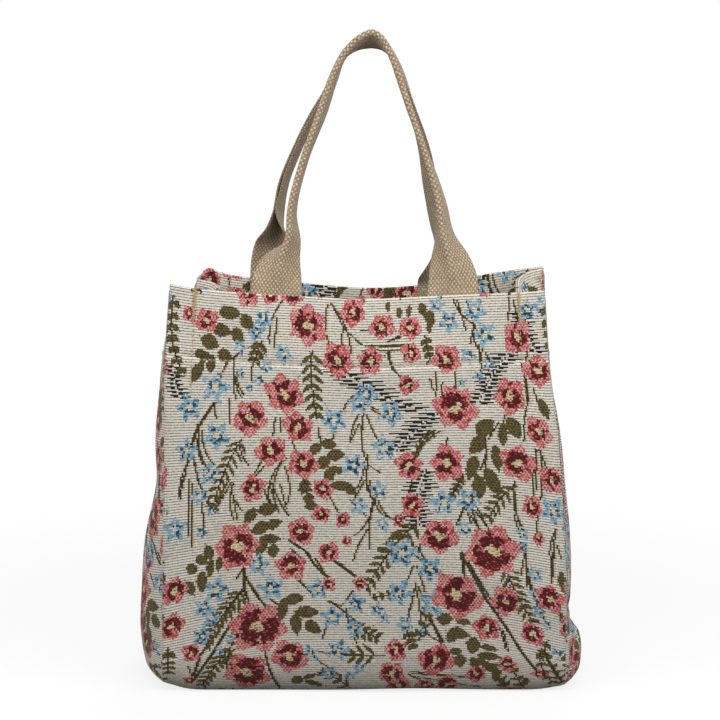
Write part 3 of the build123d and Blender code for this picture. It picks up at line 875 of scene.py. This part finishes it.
def jacquardFace():
    # Jacquard tapestry, woven from dull cotton: rounded weft ribs with painted shade in the broken grooves
    # between them, no gloss.
    m = newMaterial("cottonJacquard")
    yarn = add(m, "Attribute", {"attribute_name": "yarn"})
    thread = add(m, "Attribute", {"attribute_name": "threads"})  # 1.3 mm warp steps and 0.98 mm picks
    count = len(yarnColours)
    pickYarn = add(m, "MapRange", {"From Min": -0.5, "From Max": count - 0.5}, Value=yarn.outputs["Fac"])
    stops = [(i / count, colour) for i, (_, colour) in enumerate(yarnColours)]
    ramp = add(m, "ValToRGB", {"stops": stops}, i0=pickYarn.outputs[0])
    ramp.color_ramp.interpolation = "CONSTANT"
    spun = add(m, "VectorMath", {"operation": "MULTIPLY", 1: (0.8, 0.45, 1)}, i0=thread.outputs["Vector"])
    fibre = add(m, "TexNoise", {"Scale": 1.0, "Detail": 3.0, "Roughness": 0.7}, Vector=spun.outputs[0])
    step = add(m, "SeparateXYZ", i0=thread.outputs["Vector"])
    stray = add(m, "Math", {"operation": "MULTIPLY_ADD", 1: 0.9, 2: -0.45}, i0=fibre.outputs["Fac"])
    waved = add(m, "Math", {"operation": "ADD"}, i0=step.outputs["Y"], i1=stray.outputs[0])
    rib = add(m, "Math", {"operation": "PINGPONG", 1: 1.0}, i0=waved.outputs[0])  # two picks to a rib
    warp = add(m, "Math", {"operation": "PINGPONG", 1: 0.5}, i0=step.outputs["X"])
    # painted shade: the grooves between the ribs are drawn dark in the colour, broken by the fibre noise
    gap = add(m, "MapRange", {"From Min": 0.56, "From Max": 0.12, "interpolation_type": "SMOOTHSTEP"},
              Value=rib.outputs[0])
    uneven = add(m, "MapRange", {"From Min": 0.3, "From Max": 0.6, "To Min": 0.3, "To Max": 1.0},
                 Value=fibre.outputs["Fac"])
    paintedGrooveShade = add(m, "Math", {"operation": "MULTIPLY"}, i0=gap.outputs[0], i1=uneven.outputs[0])
    packed = add(m, "MapRange", {"From Min": 0.4, "From Max": 0.6, "To Min": 1.0, "To Max": 0.5},
                 Value=yarn.outputs["Fac"])  # petal yarns pack down over the grooves and take less of their painted shade, leaf yarns take it all
    leafy = add(m, "Math", {"operation": "GREATER_THAN", 1: yarnNumber["leaf"] - 0.5},
                i0=yarn.outputs["Fac"])
    covered = add(m, "Math", {"operation": "MAXIMUM"}, i0=packed.outputs[0], i1=leafy.outputs[0])
    shade = add(m, "Math", {"operation": "MULTIPLY"}, i0=paintedGrooveShade.outputs[0], i1=covered.outputs[0])
    # the painted groove shade darkens the yarn colour
    dark = add(m, "Mix", {"data_type": "RGBA", "blend_type": "MULTIPLY", 7: linear("3C372B")},
               i0=shade.outputs[0], i6=ramp.outputs[0])
    # painted shade in the notches between warp ends
    warpNotchShade = add(m, "MapRange", {"From Min": 0.2, "From Max": 0.0, "To Max": 0.32}, Value=warp.outputs[0])
    dotted = add(m, "Mix", {"data_type": "RGBA", "blend_type": "MULTIPLY", 7: linear("9C9486")},
                 i0=warpNotchShade.outputs[0], i6=dark.outputs[2])
    cell = add(m, "VectorMath", {"operation": "FLOOR"}, i0=thread.outputs["Vector"])
    luck = add(m, "TexWhiteNoise", {"noise_dimensions": "2D"}, Vector=cell.outputs[0])
    toneAndPlyShade = add(m, "MapRange", {"To Min": 0.84, "To Max": 1.1}, Value=luck.outputs["Value"])
    tint = add(m, "HueSaturation", Color=dotted.outputs[2], Value=toneAndPlyShade.outputs[0])
    dent = add(m, "Math", {"operation": "MULTIPLY_ADD", 1: 0.6}, i0=warp.outputs[0], i2=fibre.outputs["Fac"])
    bump = add(m, "Bump", {"Strength": 0.5, "Distance": 0.0004}, Height=dent.outputs[0])
    cloth = add(m, "BsdfPrincipled", {"Roughness": 0.88, "IOR": 1.47, "Specular IOR Level": 0.2,
                                      "Sheen Weight": 0.1, "Sheen Roughness": 0.6},
                Base_Color=tint.outputs[0], Normal=bump.outputs[0])
    add(m, "OutputMaterial", Surface=cloth.outputs[0])
    return m


def jacquardReverse():
    # Back of the same cloth: the unused yarns float there in dull streaks along the ribs.
    m = newMaterial("jacquardReverse")
    thread = add(m, "Attribute", {"attribute_name": "threads"})
    step = add(m, "SeparateXYZ", i0=thread.outputs["Vector"])
    drawn = add(m, "VectorMath", {"operation": "MULTIPLY", 1: (0.1, 0.25, 1)}, i0=thread.outputs["Vector"])
    streak = add(m, "TexNoise", {"Scale": 1.0, "Detail": 4.0, "Roughness": 0.65}, Vector=drawn.outputs[0])
    stops = ((0.0, "6E5548"), (0.4, "8F7F6E"), (0.5, "B9AE9B"), (0.6, "9A8B7C"), (0.75, "6C6A58"))
    ramp = add(m, "ValToRGB", {"stops": stops}, i0=streak.outputs["Fac"])
    rib = add(m, "Math", {"operation": "PINGPONG", 1: 1.0}, i0=step.outputs["Y"])
    # painted shade in the grooves between the ribs of the reverse
    gap = add(m, "MapRange", {"From Min": 0.45, "From Max": 0.05, "To Max": 0.8}, Value=rib.outputs[0])
    dark = add(m, "Mix", {"data_type": "RGBA", "blend_type": "MULTIPLY", 7: linear("8A8072")},
               i0=gap.outputs[0], i6=ramp.outputs[0])
    bump = add(m, "Bump", {"Strength": 0.4, "Distance": 0.0006}, Height=rib.outputs[0])
    cloth = add(m, "BsdfPrincipled", {"Roughness": 0.92, "IOR": 1.47, "Specular IOR Level": 0.15,
                                      "Sheen Weight": 0.1, "Sheen Roughness": 0.6},
                Base_Color=dark.outputs[2], Normal=bump.outputs[0])
    add(m, "OutputMaterial", Surface=cloth.outputs[0])
    return m


def cottonWebbing():
    # Undyed cotton webbing in a tight plain weave, dry and matt: pale yarn crowns as painted light over
    # brown hollows as painted shade, with the fibre's own uneven tone.
    m = newMaterial("cottonWebbing")
    thread = add(m, "Attribute", {"attribute_name": "threads"})  # millimetres across and along the web
    yarns = {"operation": "DIVIDE", 1: (1.45, 2.0, 1)}  # millimetres, drawn coarse so that they show
    cell = add(m, "VectorMath", yarns, i0=thread.outputs["Vector"])
    step = add(m, "SeparateXYZ", i0=cell.outputs[0])
    warp = add(m, "Math", {"operation": "PINGPONG", 1: 1.0}, i0=step.outputs["X"])
    weft = add(m, "Math", {"operation": "PINGPONG", 1: 1.0}, i0=step.outputs["Y"])
    over = add(m, "Math", {"operation": "SUBTRACT"}, i0=warp.outputs[0], i1=weft.outputs[0])
    weaveCrownShade = add(m, "Math", {"operation": "ABSOLUTE"}, i0=over.outputs[0])
    fibre = add(m, "TexNoise", {"Scale": 0.9, "Detail": 4.0, "Roughness": 0.75}, Vector=cell.outputs[0])
    fleck = add(m, "TexNoise", {"Scale": 0.2, "Detail": 2.0}, Vector=cell.outputs[0])
    level = add(m, "Math", {"operation": "MULTIPLY_ADD", 1: 1.4, 2: -0.62}, i0=fibre.outputs["Fac"])
    mixed = add(m, "Math", {"operation": "ADD"}, i0=weaveCrownShade.outputs[0], i1=level.outputs[0])
    # painted light and shade of the weave, pale on the crowns and brown in the hollows, mixed with the
    # fibre's own uneven tone
    stops = ((0.08, "766249"), (0.3, "96826A"), (0.58, "AD9A80"), (0.92, "CCBDA4"))
    ramp = add(m, "ValToRGB", {"stops": stops}, i0=mixed.outputs[0])
    toneAndPlyShade = add(m, "MapRange", {"From Min": 0.3, "From Max": 0.7, "To Min": 0.9, "To Max": 1.06},
               Value=fleck.outputs["Fac"])
    tint = add(m, "HueSaturation", Color=ramp.outputs[0], Value=toneAndPlyShade.outputs[0])
    bump = add(m, "Bump", {"Strength": 0.7, "Distance": 0.0006}, Height=mixed.outputs[0])
    cloth = add(m, "BsdfPrincipled", {"Roughness": 0.9, "IOR": 1.47, "Specular IOR Level": 0.2,
                                      "Sheen Weight": 0.15, "Sheen Roughness": 0.6},
                Base_Color=tint.outputs[0], Normal=bump.outputs[0])
    add(m, "OutputMaterial", Surface=cloth.outputs[0])
    return m


def cottonThread(name, colour):
    # Twisted cotton sewing thread: matt, with a fine slanting ply whose grooves are darkened as painted
    # shade.
    m = newMaterial(name)
    place = add(m, "TexCoord")
    ply = add(m, "TexWave", {"Scale": 700.0, "Distortion": 1.0, "bands_direction": "DIAGONAL"},
              Vector=place.outputs["Object"])  # ply drawn at 0.7 mm, coarser than real, so that it shows
    # painted shade along the grooves of the ply
    toneAndPlyShade = add(m, "MapRange", {"To Min": 0.8, "To Max": 1.08}, Value=ply.outputs["Fac"])
    tint = add(m, "HueSaturation", {"Color": linear(colour)}, Value=toneAndPlyShade.outputs[0])
    bump = add(m, "Bump", {"Strength": 0.3, "Distance": 0.0002}, Height=ply.outputs["Fac"])
    thread = add(m, "BsdfPrincipled", {"Roughness": 0.75, "IOR": 1.47, "Specular IOR Level": 0.25},
                 Base_Color=tint.outputs[0], Normal=bump.outputs[0])
    add(m, "OutputMaterial", Surface=thread.outputs[0])
    return m


faceMaterial = jacquardFace()
reverseMaterial = jacquardReverse()
webbingMaterial = cottonWebbing()
print("materials made")


# cloth panels

panels = {  # columns of warp, steps of the reverse, cut width and length in millimetres, shift of the design
    "strip": {"columns": 240, "coarse": (8, 8), "cut": (312, 852)},
    "gusset": {"columns": 100, "coarse": (8, 6), "cut": (130, 372), "left": 96, "right": -104},
}
sideFlowers = {  # kind, distance behind the front seam and below the hem, sizes
    "left": (
        ("leaf", 14, 84, 20, 13, 80), ("leaf", 10, 96, 14, 8, 60), ("rose", 17, 129, 12, 5),
        ("rose", 21, 173, 14, 5), ("blue", 22, 203, 11), ("rose", 36, 234, 15, 5),
        ("leaf", 20, 268, 18, 8, 60), ("leaf", 32, 262, 18, 8, 120), ("leaf", 24, 284, 14, 7, 100),
        ("blue", 42, 296, 9),
    ),
    "right": (
        ("blue", 8, 40, 10), ("blue", 10, 183, 11), ("blue", 14, 202, 11), ("leaf", 8, 262, 14, 6, 90),
        ("blue", 22, 264, 9), ("rose", 26, 299, 13, 5), ("leaf", 30, 282, 16, 7, 40),
    ),
}
hemRoses = ((34, 6, 10, 5), (6, 2, 7, 5))  # inside the back hem: across, beyond its fold, radius, petals
hemStart = -pick * (hemSteps()[1][-1] + 3)
grids = {}


def finishPanel(piece, node):
    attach(piece, "root")
    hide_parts(node)
    print(piece.name, "woven:", len(piece.data.polygons), "faces")


# The strip is one cut; its two halves are two meshes that meet along the middle of the base.
for name, face in (("bodyFront", -1), ("bodyBack", 1)):
    points, picks = halfStrip(face, panels["strip"]["columns"])
    if face < 0:
        laid = layMeadow(points, picks)
        card = newCard(picks, panels["strip"]["columns"], hemStart)
    else:
        points = points[:, ::-1]
        card = newCard(picks[-1] - picks[::-1], panels["strip"]["columns"], hemStart + picks[-1] * pick)
    fillCard(card, laid, 0)
    if face > 0:
        backFold = 2 * (hemStart + picks[-1] * pick)  # where the cloth turns in
        for x, beyond, *sizes in hemRoses:
            rose(card, x, backFold + beyond, *sizes)
    yarns = card["yarn"] if face < 0 else card["yarn"][::-1, ::-1]
    grids[name] = points, picks
    piece = clothSheet(name, points, picks, yarns, *panels["strip"]["coarse"])
    finishPanel(piece, "body_panel")

for name, side in (("left", -1), ("right", 1)):
    points, picks = gussetGrid(side, panels["gusset"]["columns"])
    if side < 0:
        points = points[:, ::-1]
    card = newCard(picks, panels["gusset"]["columns"], hemStart)
    fillCard(card, laid, panels["gusset"][name])
    for kind, behind, down, *sizes in sideFlowers[name]:
        motif = {"rose": rose, "blue": blueFlower, "leaf": leaf}[kind]
        motif(card, side * (behind - panels["gusset"]["cut"][0] / 2), down, *sizes)
    grids[name + "Gusset"] = points, picks
    piece = clothSheet(name + "Gusset", points, picks, card["yarn"], *panels["gusset"]["coarse"])
    finishPanel(piece, name + "_gusset")


# webbing handles

handle = {
    "width": 38,
    "thick": 1.8,
    "spine": 3.4,        # half of the rounded fold, along the web
    "close": 93,         # each half turns by this much when fully folded
    "tail": 44,          # sewn length inside the hem
    "gap": 0.3,
    "step": 2.0,
    "across": 33,        # points across the web
    "fine": 401,         # and steps that its fold is worked out in
    "soften": 20,        # stations that the web's heading is averaged over
    "flatUntil": 0.2,    # share of the fold below which it lies on the hem
    "selvedge": 24,      # power and least thickness of its rounded edges
    "selvedgeThin": 0.12,
    "waver": 3,          # of the roll, in degrees
    "waverLong": 19,
    "foot": 2,           # below the hem's top, where the web starts to lean
    "hemKeep": 4,        # and the last level where it follows the hem
    "apexX": 9.6,
    "apexRise": 191,
    "apexGap": 21,
    "apexTurn": -44,
    # x from the peak, rise above the hem, lean towards the middle and fold as shares,
    # and how far the folded edges turn out of the loop, in degrees
    "front": {
        "left": (
            (-72, 0, 0, 0.02, 0), (-71, 13, 0.03, 0.22, 0), (-68.3, 27, 0.09, 0.52, -8),
            (-63.5, 41, 0.17, 0.86, -18), (-62, 60, 0.3, 1, -12), (-52, 98, 0.55, 1, -12),
            (-39, 135, 0.78, 1, -14), (-30.2, 159, 0.9, 1, -10), (-20, 177, 0.97, 1, -8),
            (-10, 187, 1, 1, -31),
        ),
        "right": (
            (59.5, 0, 0, 0.02, 0), (59.5, 13, 0.03, 0.22, 0), (56.7, 27, 0.1, 0.47, 6),
            (52, 42, 0.19, 0.75, 10), (48.5, 66, 0.34, 0.95, 12), (40, 98, 0.55, 1, 6),
            (27.5, 135, 0.78, 1, 0), (19, 160, 0.9, 1, -4), (11.5, 178, 0.97, 1, -8), (6.5, 187, 1, 1, -33),
        ),
    },
    "back": {
        "left": (
            (-78.5, 0, 0, 0.02, 0), (-77.8, 13, 0.03, 0.08, 0), (-75, 29, 0.1, 0.26, 6),
            (-72.6, 43, 0.18, 0.74, 18), (-71, 56, 0.25, 0.97, 20), (-67.4, 76, 0.37, 0.98, 14),
            (-56.2, 104, 0.55, 1, 11), (-41.5, 135, 0.78, 1, 10), (-29.5, 159, 0.9, 1, 0),
            (-20, 177, 0.97, 1, -8), (-10, 187, 1, 1, -31),
        ),
        "right": (
            (55.5, 0, 0, 0.02, 0), (55.5, 13, 0.03, 0.46, 0), (53.5, 28, 0.1, 0.86, 0),
            (47.5, 48, 0.2, 0.97, 15), (41.5, 76, 0.37, 1, 24), (37.5, 104, 0.55, 1, 20),
            (30, 135, 0.78, 1, 10), (22.5, 160, 0.9, 1, -2), (13, 178, 0.97, 1, -8), (7, 187, 1, 1, -33),
        ),
    },
}


def hemInside(face, x, level):  # inner surface of the hem at a place
    left, right = seams(face, level)
    share = np.clip((x - left) / (right - left) * 2 - 1, -1, 1)
    return wallDepth(face, share, level)[1] - hemThick


def hemTop(face, x):
    left, right = seams(face, bag["height"])
    return topOf(face, np.array([(x - left) / (right - left) * 2 - 1]))[0]


def handleStations(face, legs):  # x, y, z, fold and turn from one tail to the other
    sides = []
    seat = handle["gap"] + handle["thick"] / 2
    for name in ("left", "right"):
        stations = []
        footX = handle["apexX"] + legs[name][0][0]
        top = hemTop(face, footX)
        for below in (handle["tail"], handle["tail"] / 2):
            level = np.array([top - below])
            stations.append((footX, hemInside(face, np.array([footX]), level)[0] - seat, level[0], 0.0, 0.0))
        footY = hemInside(face, np.array([footX]), np.array([top - handle["foot"]]))[0] - seat
        for x, rise, lean, fold, turn in legs[name]:
            depth = footY + (handle["apexGap"] - footY) * lean
            z = top + (bag["height"] + handle["apexRise"] - top) * rise / handle["apexRise"]
            stations.append((handle["apexX"] + x, depth, z, fold, turn))
        sides.append(stations)
    peak = (handle["apexX"], handle["apexGap"], bag["height"] + handle["apexRise"], 1.0, handle["apexTurn"])
    line = np.array(sides[0] + [peak] + sides[1][::-1], float)
    line[:, 1] *= face
    return line


def foldedSection(fold):  # across the web: p to the side, q towards the bag's middle
    half = handle["width"] / 2
    s, fine = (np.linspace(-half, half, handle[count]) for count in ("across", "fine"))
    across = np.clip(fine / handle["spine"], -1, 1)
    turn = math.radians(handle["close"]) * fold * np.sin(across * math.pi / 2)
    p = np.cumsum(np.cos(turn)) * (fine[1] - fine[0])
    q = np.cumsum(np.sin(turn)) * (fine[1] - fine[0])
    middle = len(fine) // 2
    return s, *(np.interp(s, fine, line) for line in (p - p[middle], q - q[middle], turn))


def webStrap(name, face, legs):
    line = handleStations(face, legs)
    run = np.concatenate([[0], np.cumsum(np.linalg.norm(np.diff(line[:, :3], axis=0), axis=1))])
    at = np.linspace(0, run[-1], round(run[-1] / handle["step"]))
    path = np.stack([soft(at, run, line[:, i]) for i in range(3)], -1)
    fold = np.clip(soft(at, run, line[:, 3]), 0, 1)
    waver = handle["waver"] * np.sin(at / handle["waverLong"])
    roll = np.radians(soft(at, run, line[:, 4]) + waver) * fold * -face
    ahead = np.gradient(path, axis=0)
    reach = handle["soften"]  # the web goes over the peak more gently than its spine
    window = bell(np.arange(-reach, reach + 1), reach / 2)
    padded = np.pad(ahead, ((reach, reach), (0, 0)), mode="edge")
    ahead = np.stack([np.convolve(part, window, "valid") for part in padded.T], -1)
    ahead /= np.linalg.norm(ahead, axis=1, keepdims=True)
    middleWay = np.array([0, -face, 0])
    inward = middleWay - ahead * (ahead @ middleWay)[:, None]
    inward /= np.linalg.norm(inward, axis=1, keepdims=True)
    sideways = np.cross(ahead, -inward)
    count = handle["across"]
    half = handle["thick"] / 2
    vertices, threads = [], []
    for i in range(len(at)):
        s, p, q, turn = foldedSection(fold[i])
        aside = sideways[i] * math.cos(roll[i]) + inward[i] * math.sin(roll[i])
        inner = inward[i] * math.cos(roll[i]) - sideways[i] * math.sin(roll[i])
        middle = path[i] + aside * p[:, None] + inner * q[:, None]
        if fold[i] < handle["flatUntil"]:  # sewn flat: follow the hem
            level = np.full(count, min(path[i, 2], bag["height"] - handle["hemKeep"]))
            hold = 1 - fold[i] / handle["flatUntil"]
            here = hemInside(face, middle[:, 0], level) - hemInside(face, path[i, :1], level[:1])
            middle[:, 1] += face * here * hold
        normal = inner * np.cos(turn)[:, None] - aside * np.sin(turn)[:, None]
        edge = (abs(s) / (handle["width"] / 2)) ** handle["selvedge"]
        thin = half * np.sqrt(np.clip(1 - edge, handle["selvedgeThin"], 1))
        for sign in (1, -1):
            vertices.append(middle + normal * thin[:, None] * sign)
            threads.append(np.stack([s + 50, np.full(count, at[i]), np.zeros(count)], -1))  # kept above zero
    total = len(at)
    ring = np.arange(total * 2 * count).reshape(total, 2, count)
    loop = np.concatenate([ring[:, 0], ring[:, 1, ::-1]], 1)
    closed = np.concatenate([loop, loop[:, :1]], 1)
    quads = np.stack([closed[:-1, :-1], closed[1:, :-1], closed[1:, 1:], closed[:-1, 1:]], -1).reshape(-1, 4)
    ends = [loop[0].tolist(), loop[-1, ::-1].tolist()]
    piece = newPiece(name, np.concatenate(vertices), quads.tolist() + ends, webbingMaterial)
    piece.data.attributes.new("threads", "FLOAT_VECTOR", "POINT").data.foreach_set(
        "vector", np.concatenate(threads).astype(np.float32).ravel())
    return piece, run[-1]


for name, node, face in (("frontHandle", "front_handle", -1), ("backHandle", "back_handle", 1)):
    piece, length = webStrap(name, face, handle["front" if face < 0 else "back"])
    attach(piece, "root")
    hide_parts(node)
    print(name, "folded from", round(length), "mm of webbing")


# sewing thread

sewing = {
    "thread": 0.8,
    "stitch": 3.0,
    "space": 0.9,
    "hemLine": bag["hem"] - bag["stitchAt"],
    "tackWidth": 6.2,    # zigzag at the top of each corner crease
    "tackLength": 21,
    "tackPitch": 0.9,
    "tackStart": 0.6,
    "tackTaper": 0.5,
    "tackShares": (1.0, 0.7),  # of that width, at the left and right corner
    "creaseLength": 76,
    "boxWide": 30,       # square of stitches on each handle tail
    "boxHigh": 32,
    "boxTop": 6,
    "sides": 6,          # of each thread's tube
    "bow": 0.75,         # how high a stitch bows, and how deep its ends sink, in threads
    "sunk": 0.45,
    "taper": 0.6,
}


def onCloth(points, rows, columns):  # places and normals at a row and column of a panel
    rows, columns = np.broadcast_arrays(np.asarray(rows, float), np.asarray(columns, float))
    r = np.clip(np.floor(rows).astype(int), 0, points.shape[0] - 2)
    c = np.clip(np.floor(columns).astype(int), 0, points.shape[1] - 2)
    down = (rows - r)[:, None]
    across = (columns - c)[:, None]
    run = points[r + 1, c] - points[r, c]
    wide = points[r, c + 1] - points[r, c]
    normal = np.cross(run, wide)
    return points[r, c] + run * down + wide * across, normal / np.linalg.norm(normal, axis=1, keepdims=True)


def cutStitches(places, normals):  # a line of running stitches
    run = np.concatenate([[0], np.cumsum(np.linalg.norm(np.diff(places, axis=0), axis=1))])
    stitches = []
    for start in np.arange(0, run[-1] - sewing["stitch"], sewing["stitch"] + sewing["space"]):
        s = np.linspace(start, start + sewing["stitch"], 5)
        stitch = []
        for line in (places, normals):
            stitch.append(np.stack([np.interp(s, run, line[:, k]) for k in range(3)], -1))
        stitches.append(stitch)
    return stitches


def sewn(name, stitches, material, lift):  # each stitch is a short bowed tube, its ends sunk in the cloth
    sides = sewing["sides"]
    turn = (np.arange(sides) * 2 * math.pi / sides)[:, None]
    vertices, faces = [], []
    for places, normals in stitches:
        bow = np.sin(np.linspace(0, math.pi, len(places)))
        rise = lift + (bow * sewing["bow"] - sewing["sunk"]) * sewing["thread"]
        middle = places + normals * rise[:, None]
        ahead = middle[-1] - middle[0]
        side = np.cross(ahead / np.linalg.norm(ahead), normals)
        thick = sewing["thread"] / 2 * (sewing["taper"] + (1 - sewing["taper"]) * bow)[:, None, None]
        ring = normals[:, None] * np.cos(turn) + side[:, None] * np.sin(turn)
        tube = middle[:, None] + thick * ring
        start = len(vertices)
        vertices += tube.reshape(-1, 3).tolist()
        for i in range(len(places) - 1):
            for k in range(sides):
                a, b = start + i * sides + k, start + i * sides + (k + 1) % sides
                faces.append((a, b, b + sides, a + sides))
        faces.append(tuple(range(start, start + sides))[::-1])
        faces.append(tuple(range(start + (len(places) - 1) * sides, start + len(places) * sides)))
    piece = newPiece(name, vertices, faces, material)
    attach(piece, "root")
    print(name, "sewn:", len(stitches), "stitches")


def rowAt(picks, below):  # row of a panel that lies this far below the fold, on the outside
    return np.interp((below - hemStart) / pick, picks, np.arange(len(picks)))


def hemStitches(points, picks):  # the same line of stitching, seen on the outside and on the inside
    columns = np.linspace(1.5, points.shape[1] - 2.5, 200)
    stitches = cutStitches(*onCloth(points, rowAt(picks, sewing["hemLine"]), columns))
    return stitches + cutStitches(*onCloth(points, rowAt(picks, -sewing["hemLine"]), columns))


def cornerTack(points, picks, inset, grow):  # dense zigzag, then single stitches down the crease
    step = bag["warp"]
    top = sewing["tackLength"]
    stitches = []
    zigs = round(top / sewing["tackPitch"])
    for i in range(zigs):
        below = sewing["tackStart"] + top * i / zigs
        half = sewing["tackWidth"] * grow / 2 * (1 - sewing["tackTaper"] * i / zigs)
        rows = rowAt(picks, np.linspace(below, below + sewing["tackPitch"], 5))
        lean = np.linspace(-half, half, 5) * (1 if i % 2 else -1)
        stitches.append(onCloth(points, rows, (inset + lean) / step))
    below = np.linspace(top, sewing["creaseLength"], 60)
    return stitches + cutStitches(*onCloth(points, rowAt(picks, below), inset / step))


def boxStitches(face, footX):  # on the inner side of a handle's tail
    top = hemTop(face, footX) - sewing["boxTop"]
    wide, high = sewing["boxWide"] / 2, sewing["boxHigh"]
    a, b, c, d = (-wide, 0), (wide, 0), (wide, -high), (-wide, -high)
    corners = (a, b, c, d, a, c, b, d)
    stitches = []
    for (xa, za), (xb, zb) in zip(corners, corners[1:]):
        x, z = footX + np.linspace(xa, xb, 40), top + np.linspace(za, zb, 40)
        depth = hemInside(face, x, z) - handle["gap"] - handle["thick"]
        places = np.stack([x, face * depth, z], -1)
        stitches += cutStitches(places, np.broadcast_to((0.0, -face, 0.0), places.shape))
    return stitches


ecruThread = cottonThread("ecruThread", "B9B09F")
tanThread = cottonThread("tanThread", "BFA57F")
for name in grids:
    sewn(name + "Hem", hemStitches(*grids[name]), ecruThread, bag["ribRise"])
for name in ("bodyFront", "bodyBack"):
    width = panels["strip"]["columns"] * bag["warp"]
    crease = bag["ear"] + 1
    tacks = []
    for inset, share in zip((crease, width - crease), sewing["tackShares"]):
        tacks += cornerTack(*grids[name], inset, share)
    sewn(name + "Tacks", tacks, tanThread, bag["ribRise"])
for name, face in (("front", -1), ("back", 1)):
    stitches = []
    for leg in ("left", "right"):
        stitches += boxStitches(face, handle["apexX"] + handle[name][leg][0][0])
    sewn(name + "TailStitching", stitches, ecruThread, 0)


# floor, light and camera

floorSize = {"half": 4, "shadowFrom": 0.3, "shadowTo": 0.65}  # metres; where the shadow fades out
roomLight = {"fill": 0.36, "shown": 1.0}


def shownRays(m):  # 1 for what the camera sees, straight or by a reflection
    ray = add(m, "LightPath")
    either = {"operation": "MAXIMUM"}
    seen = add(m, "Math", either, i0=ray.outputs["Is Camera Ray"], i1=ray.outputs["Is Glossy Ray"])
    return add(m, "Math", either, i0=seen.outputs[0], i1=ray.outputs["Is Transmission Ray"])


def paleFloor():
    # Smooth matt paper: white to the eye, with the bag's soft shadow on it.
    m = newMaterial("matPaper")
    seen = shownRays(m)
    grain = add(m, "TexNoise", {"Scale": 300.0, "Detail": 2.0})
    tone = add(m, "MapRange", {"To Min": 0.12, "To Max": 0.98}, Value=seen.outputs[0])  # little thrown up
    fine = add(m, "Math", {"operation": "MULTIPLY_ADD", 1: 0.02},
               i0=grain.outputs["Fac"], i2=tone.outputs[0])
    tint = add(m, "HueSaturation", {"Color": linear("F2F2F2")}, Value=fine.outputs[0])
    paper = add(m, "BsdfPrincipled", {"Roughness": 0.95, "Specular IOR Level": 0.1},
                Base_Color=tint.outputs[0])
    white = add(m, "Emission", {"Color": (1, 1, 1, 1), "Strength": 1.0})
    place = add(m, "TexCoord")
    away = add(m, "VectorMath", {"operation": "LENGTH"}, i0=place.outputs["Object"])
    plain = add(m, "MapRange", {"From Min": floorSize["shadowFrom"], "From Max": floorSize["shadowTo"],
                                "To Min": 0.8, "interpolation_type": "SMOOTHSTEP"},
                Value=away.outputs["Value"])
    bright = add(m, "Math", {"operation": "MULTIPLY"}, i0=plain.outputs[0], i1=seen.outputs[0])
    mixed = add(m, "MixShader", i0=bright.outputs[0], i1=paper.outputs[0], i2=white.outputs[0])
    add(m, "OutputMaterial", Surface=mixed.outputs[0])
    return m


half = floorSize["half"] / mm
corners = [(-half, -half, 0), (half, -half, 0), (half, half, 0), (-half, half, 0)]
piece = newPiece("paperFloor", corners, [(0, 1, 2, 3)], paleFloor())

studio = {  # name: place, aim, width, height, watts
    "key": ((-0.05, -0.6, 0.92), (0, 0, 0.4), 0.9, 0.5, 3.6),
    "left": ((-0.75, -0.55, 0.75), (0, 0, 0.36), 0.6, 0.6, 4.9),
    "right": ((0.75, -0.55, 0.75), (0, 0, 0.36), 0.6, 0.6, 6.0),
    "back": ((0.3, 1.7, 1.4), (0, 0, 0.25), 1.4, 1.4, 14),
}
for name, (place, aim, width, height, watts) in studio.items():
    light = bpy.data.lights.new(name, "AREA")
    light.shape = "RECTANGLE"
    light.size, light.size_y, light.energy = width, height, watts
    pointAt(bpy.data.objects.new(name, light), place, aim)

world = bpy.data.worlds.new("studioRoom")
bpy.context.scene.world = world
world.use_nodes = True
world.node_tree.nodes.clear()
room = add(world, "MapRange", {"To Min": roomLight["fill"], "To Max": roomLight["shown"]},
           Value=shownRays(world).outputs[0])
sky = add(world, "Background", {"Color": (1, 1, 1, 1)}, Strength=room.outputs[0])
add(world, "OutputWorld", Surface=sky.outputs[0])

lens = bpy.data.cameras.new("photoView")
lens.lens, lens.sensor_width = view["lens"], view["sensor"]
camera = bpy.data.objects.new("photoView", lens)
pointAt(camera, view["place"], view["aim"])
bpy.context.scene.camera = camera
bpy.context.scene.view_settings.view_transform = "Standard"
print("floor, lights and camera set")
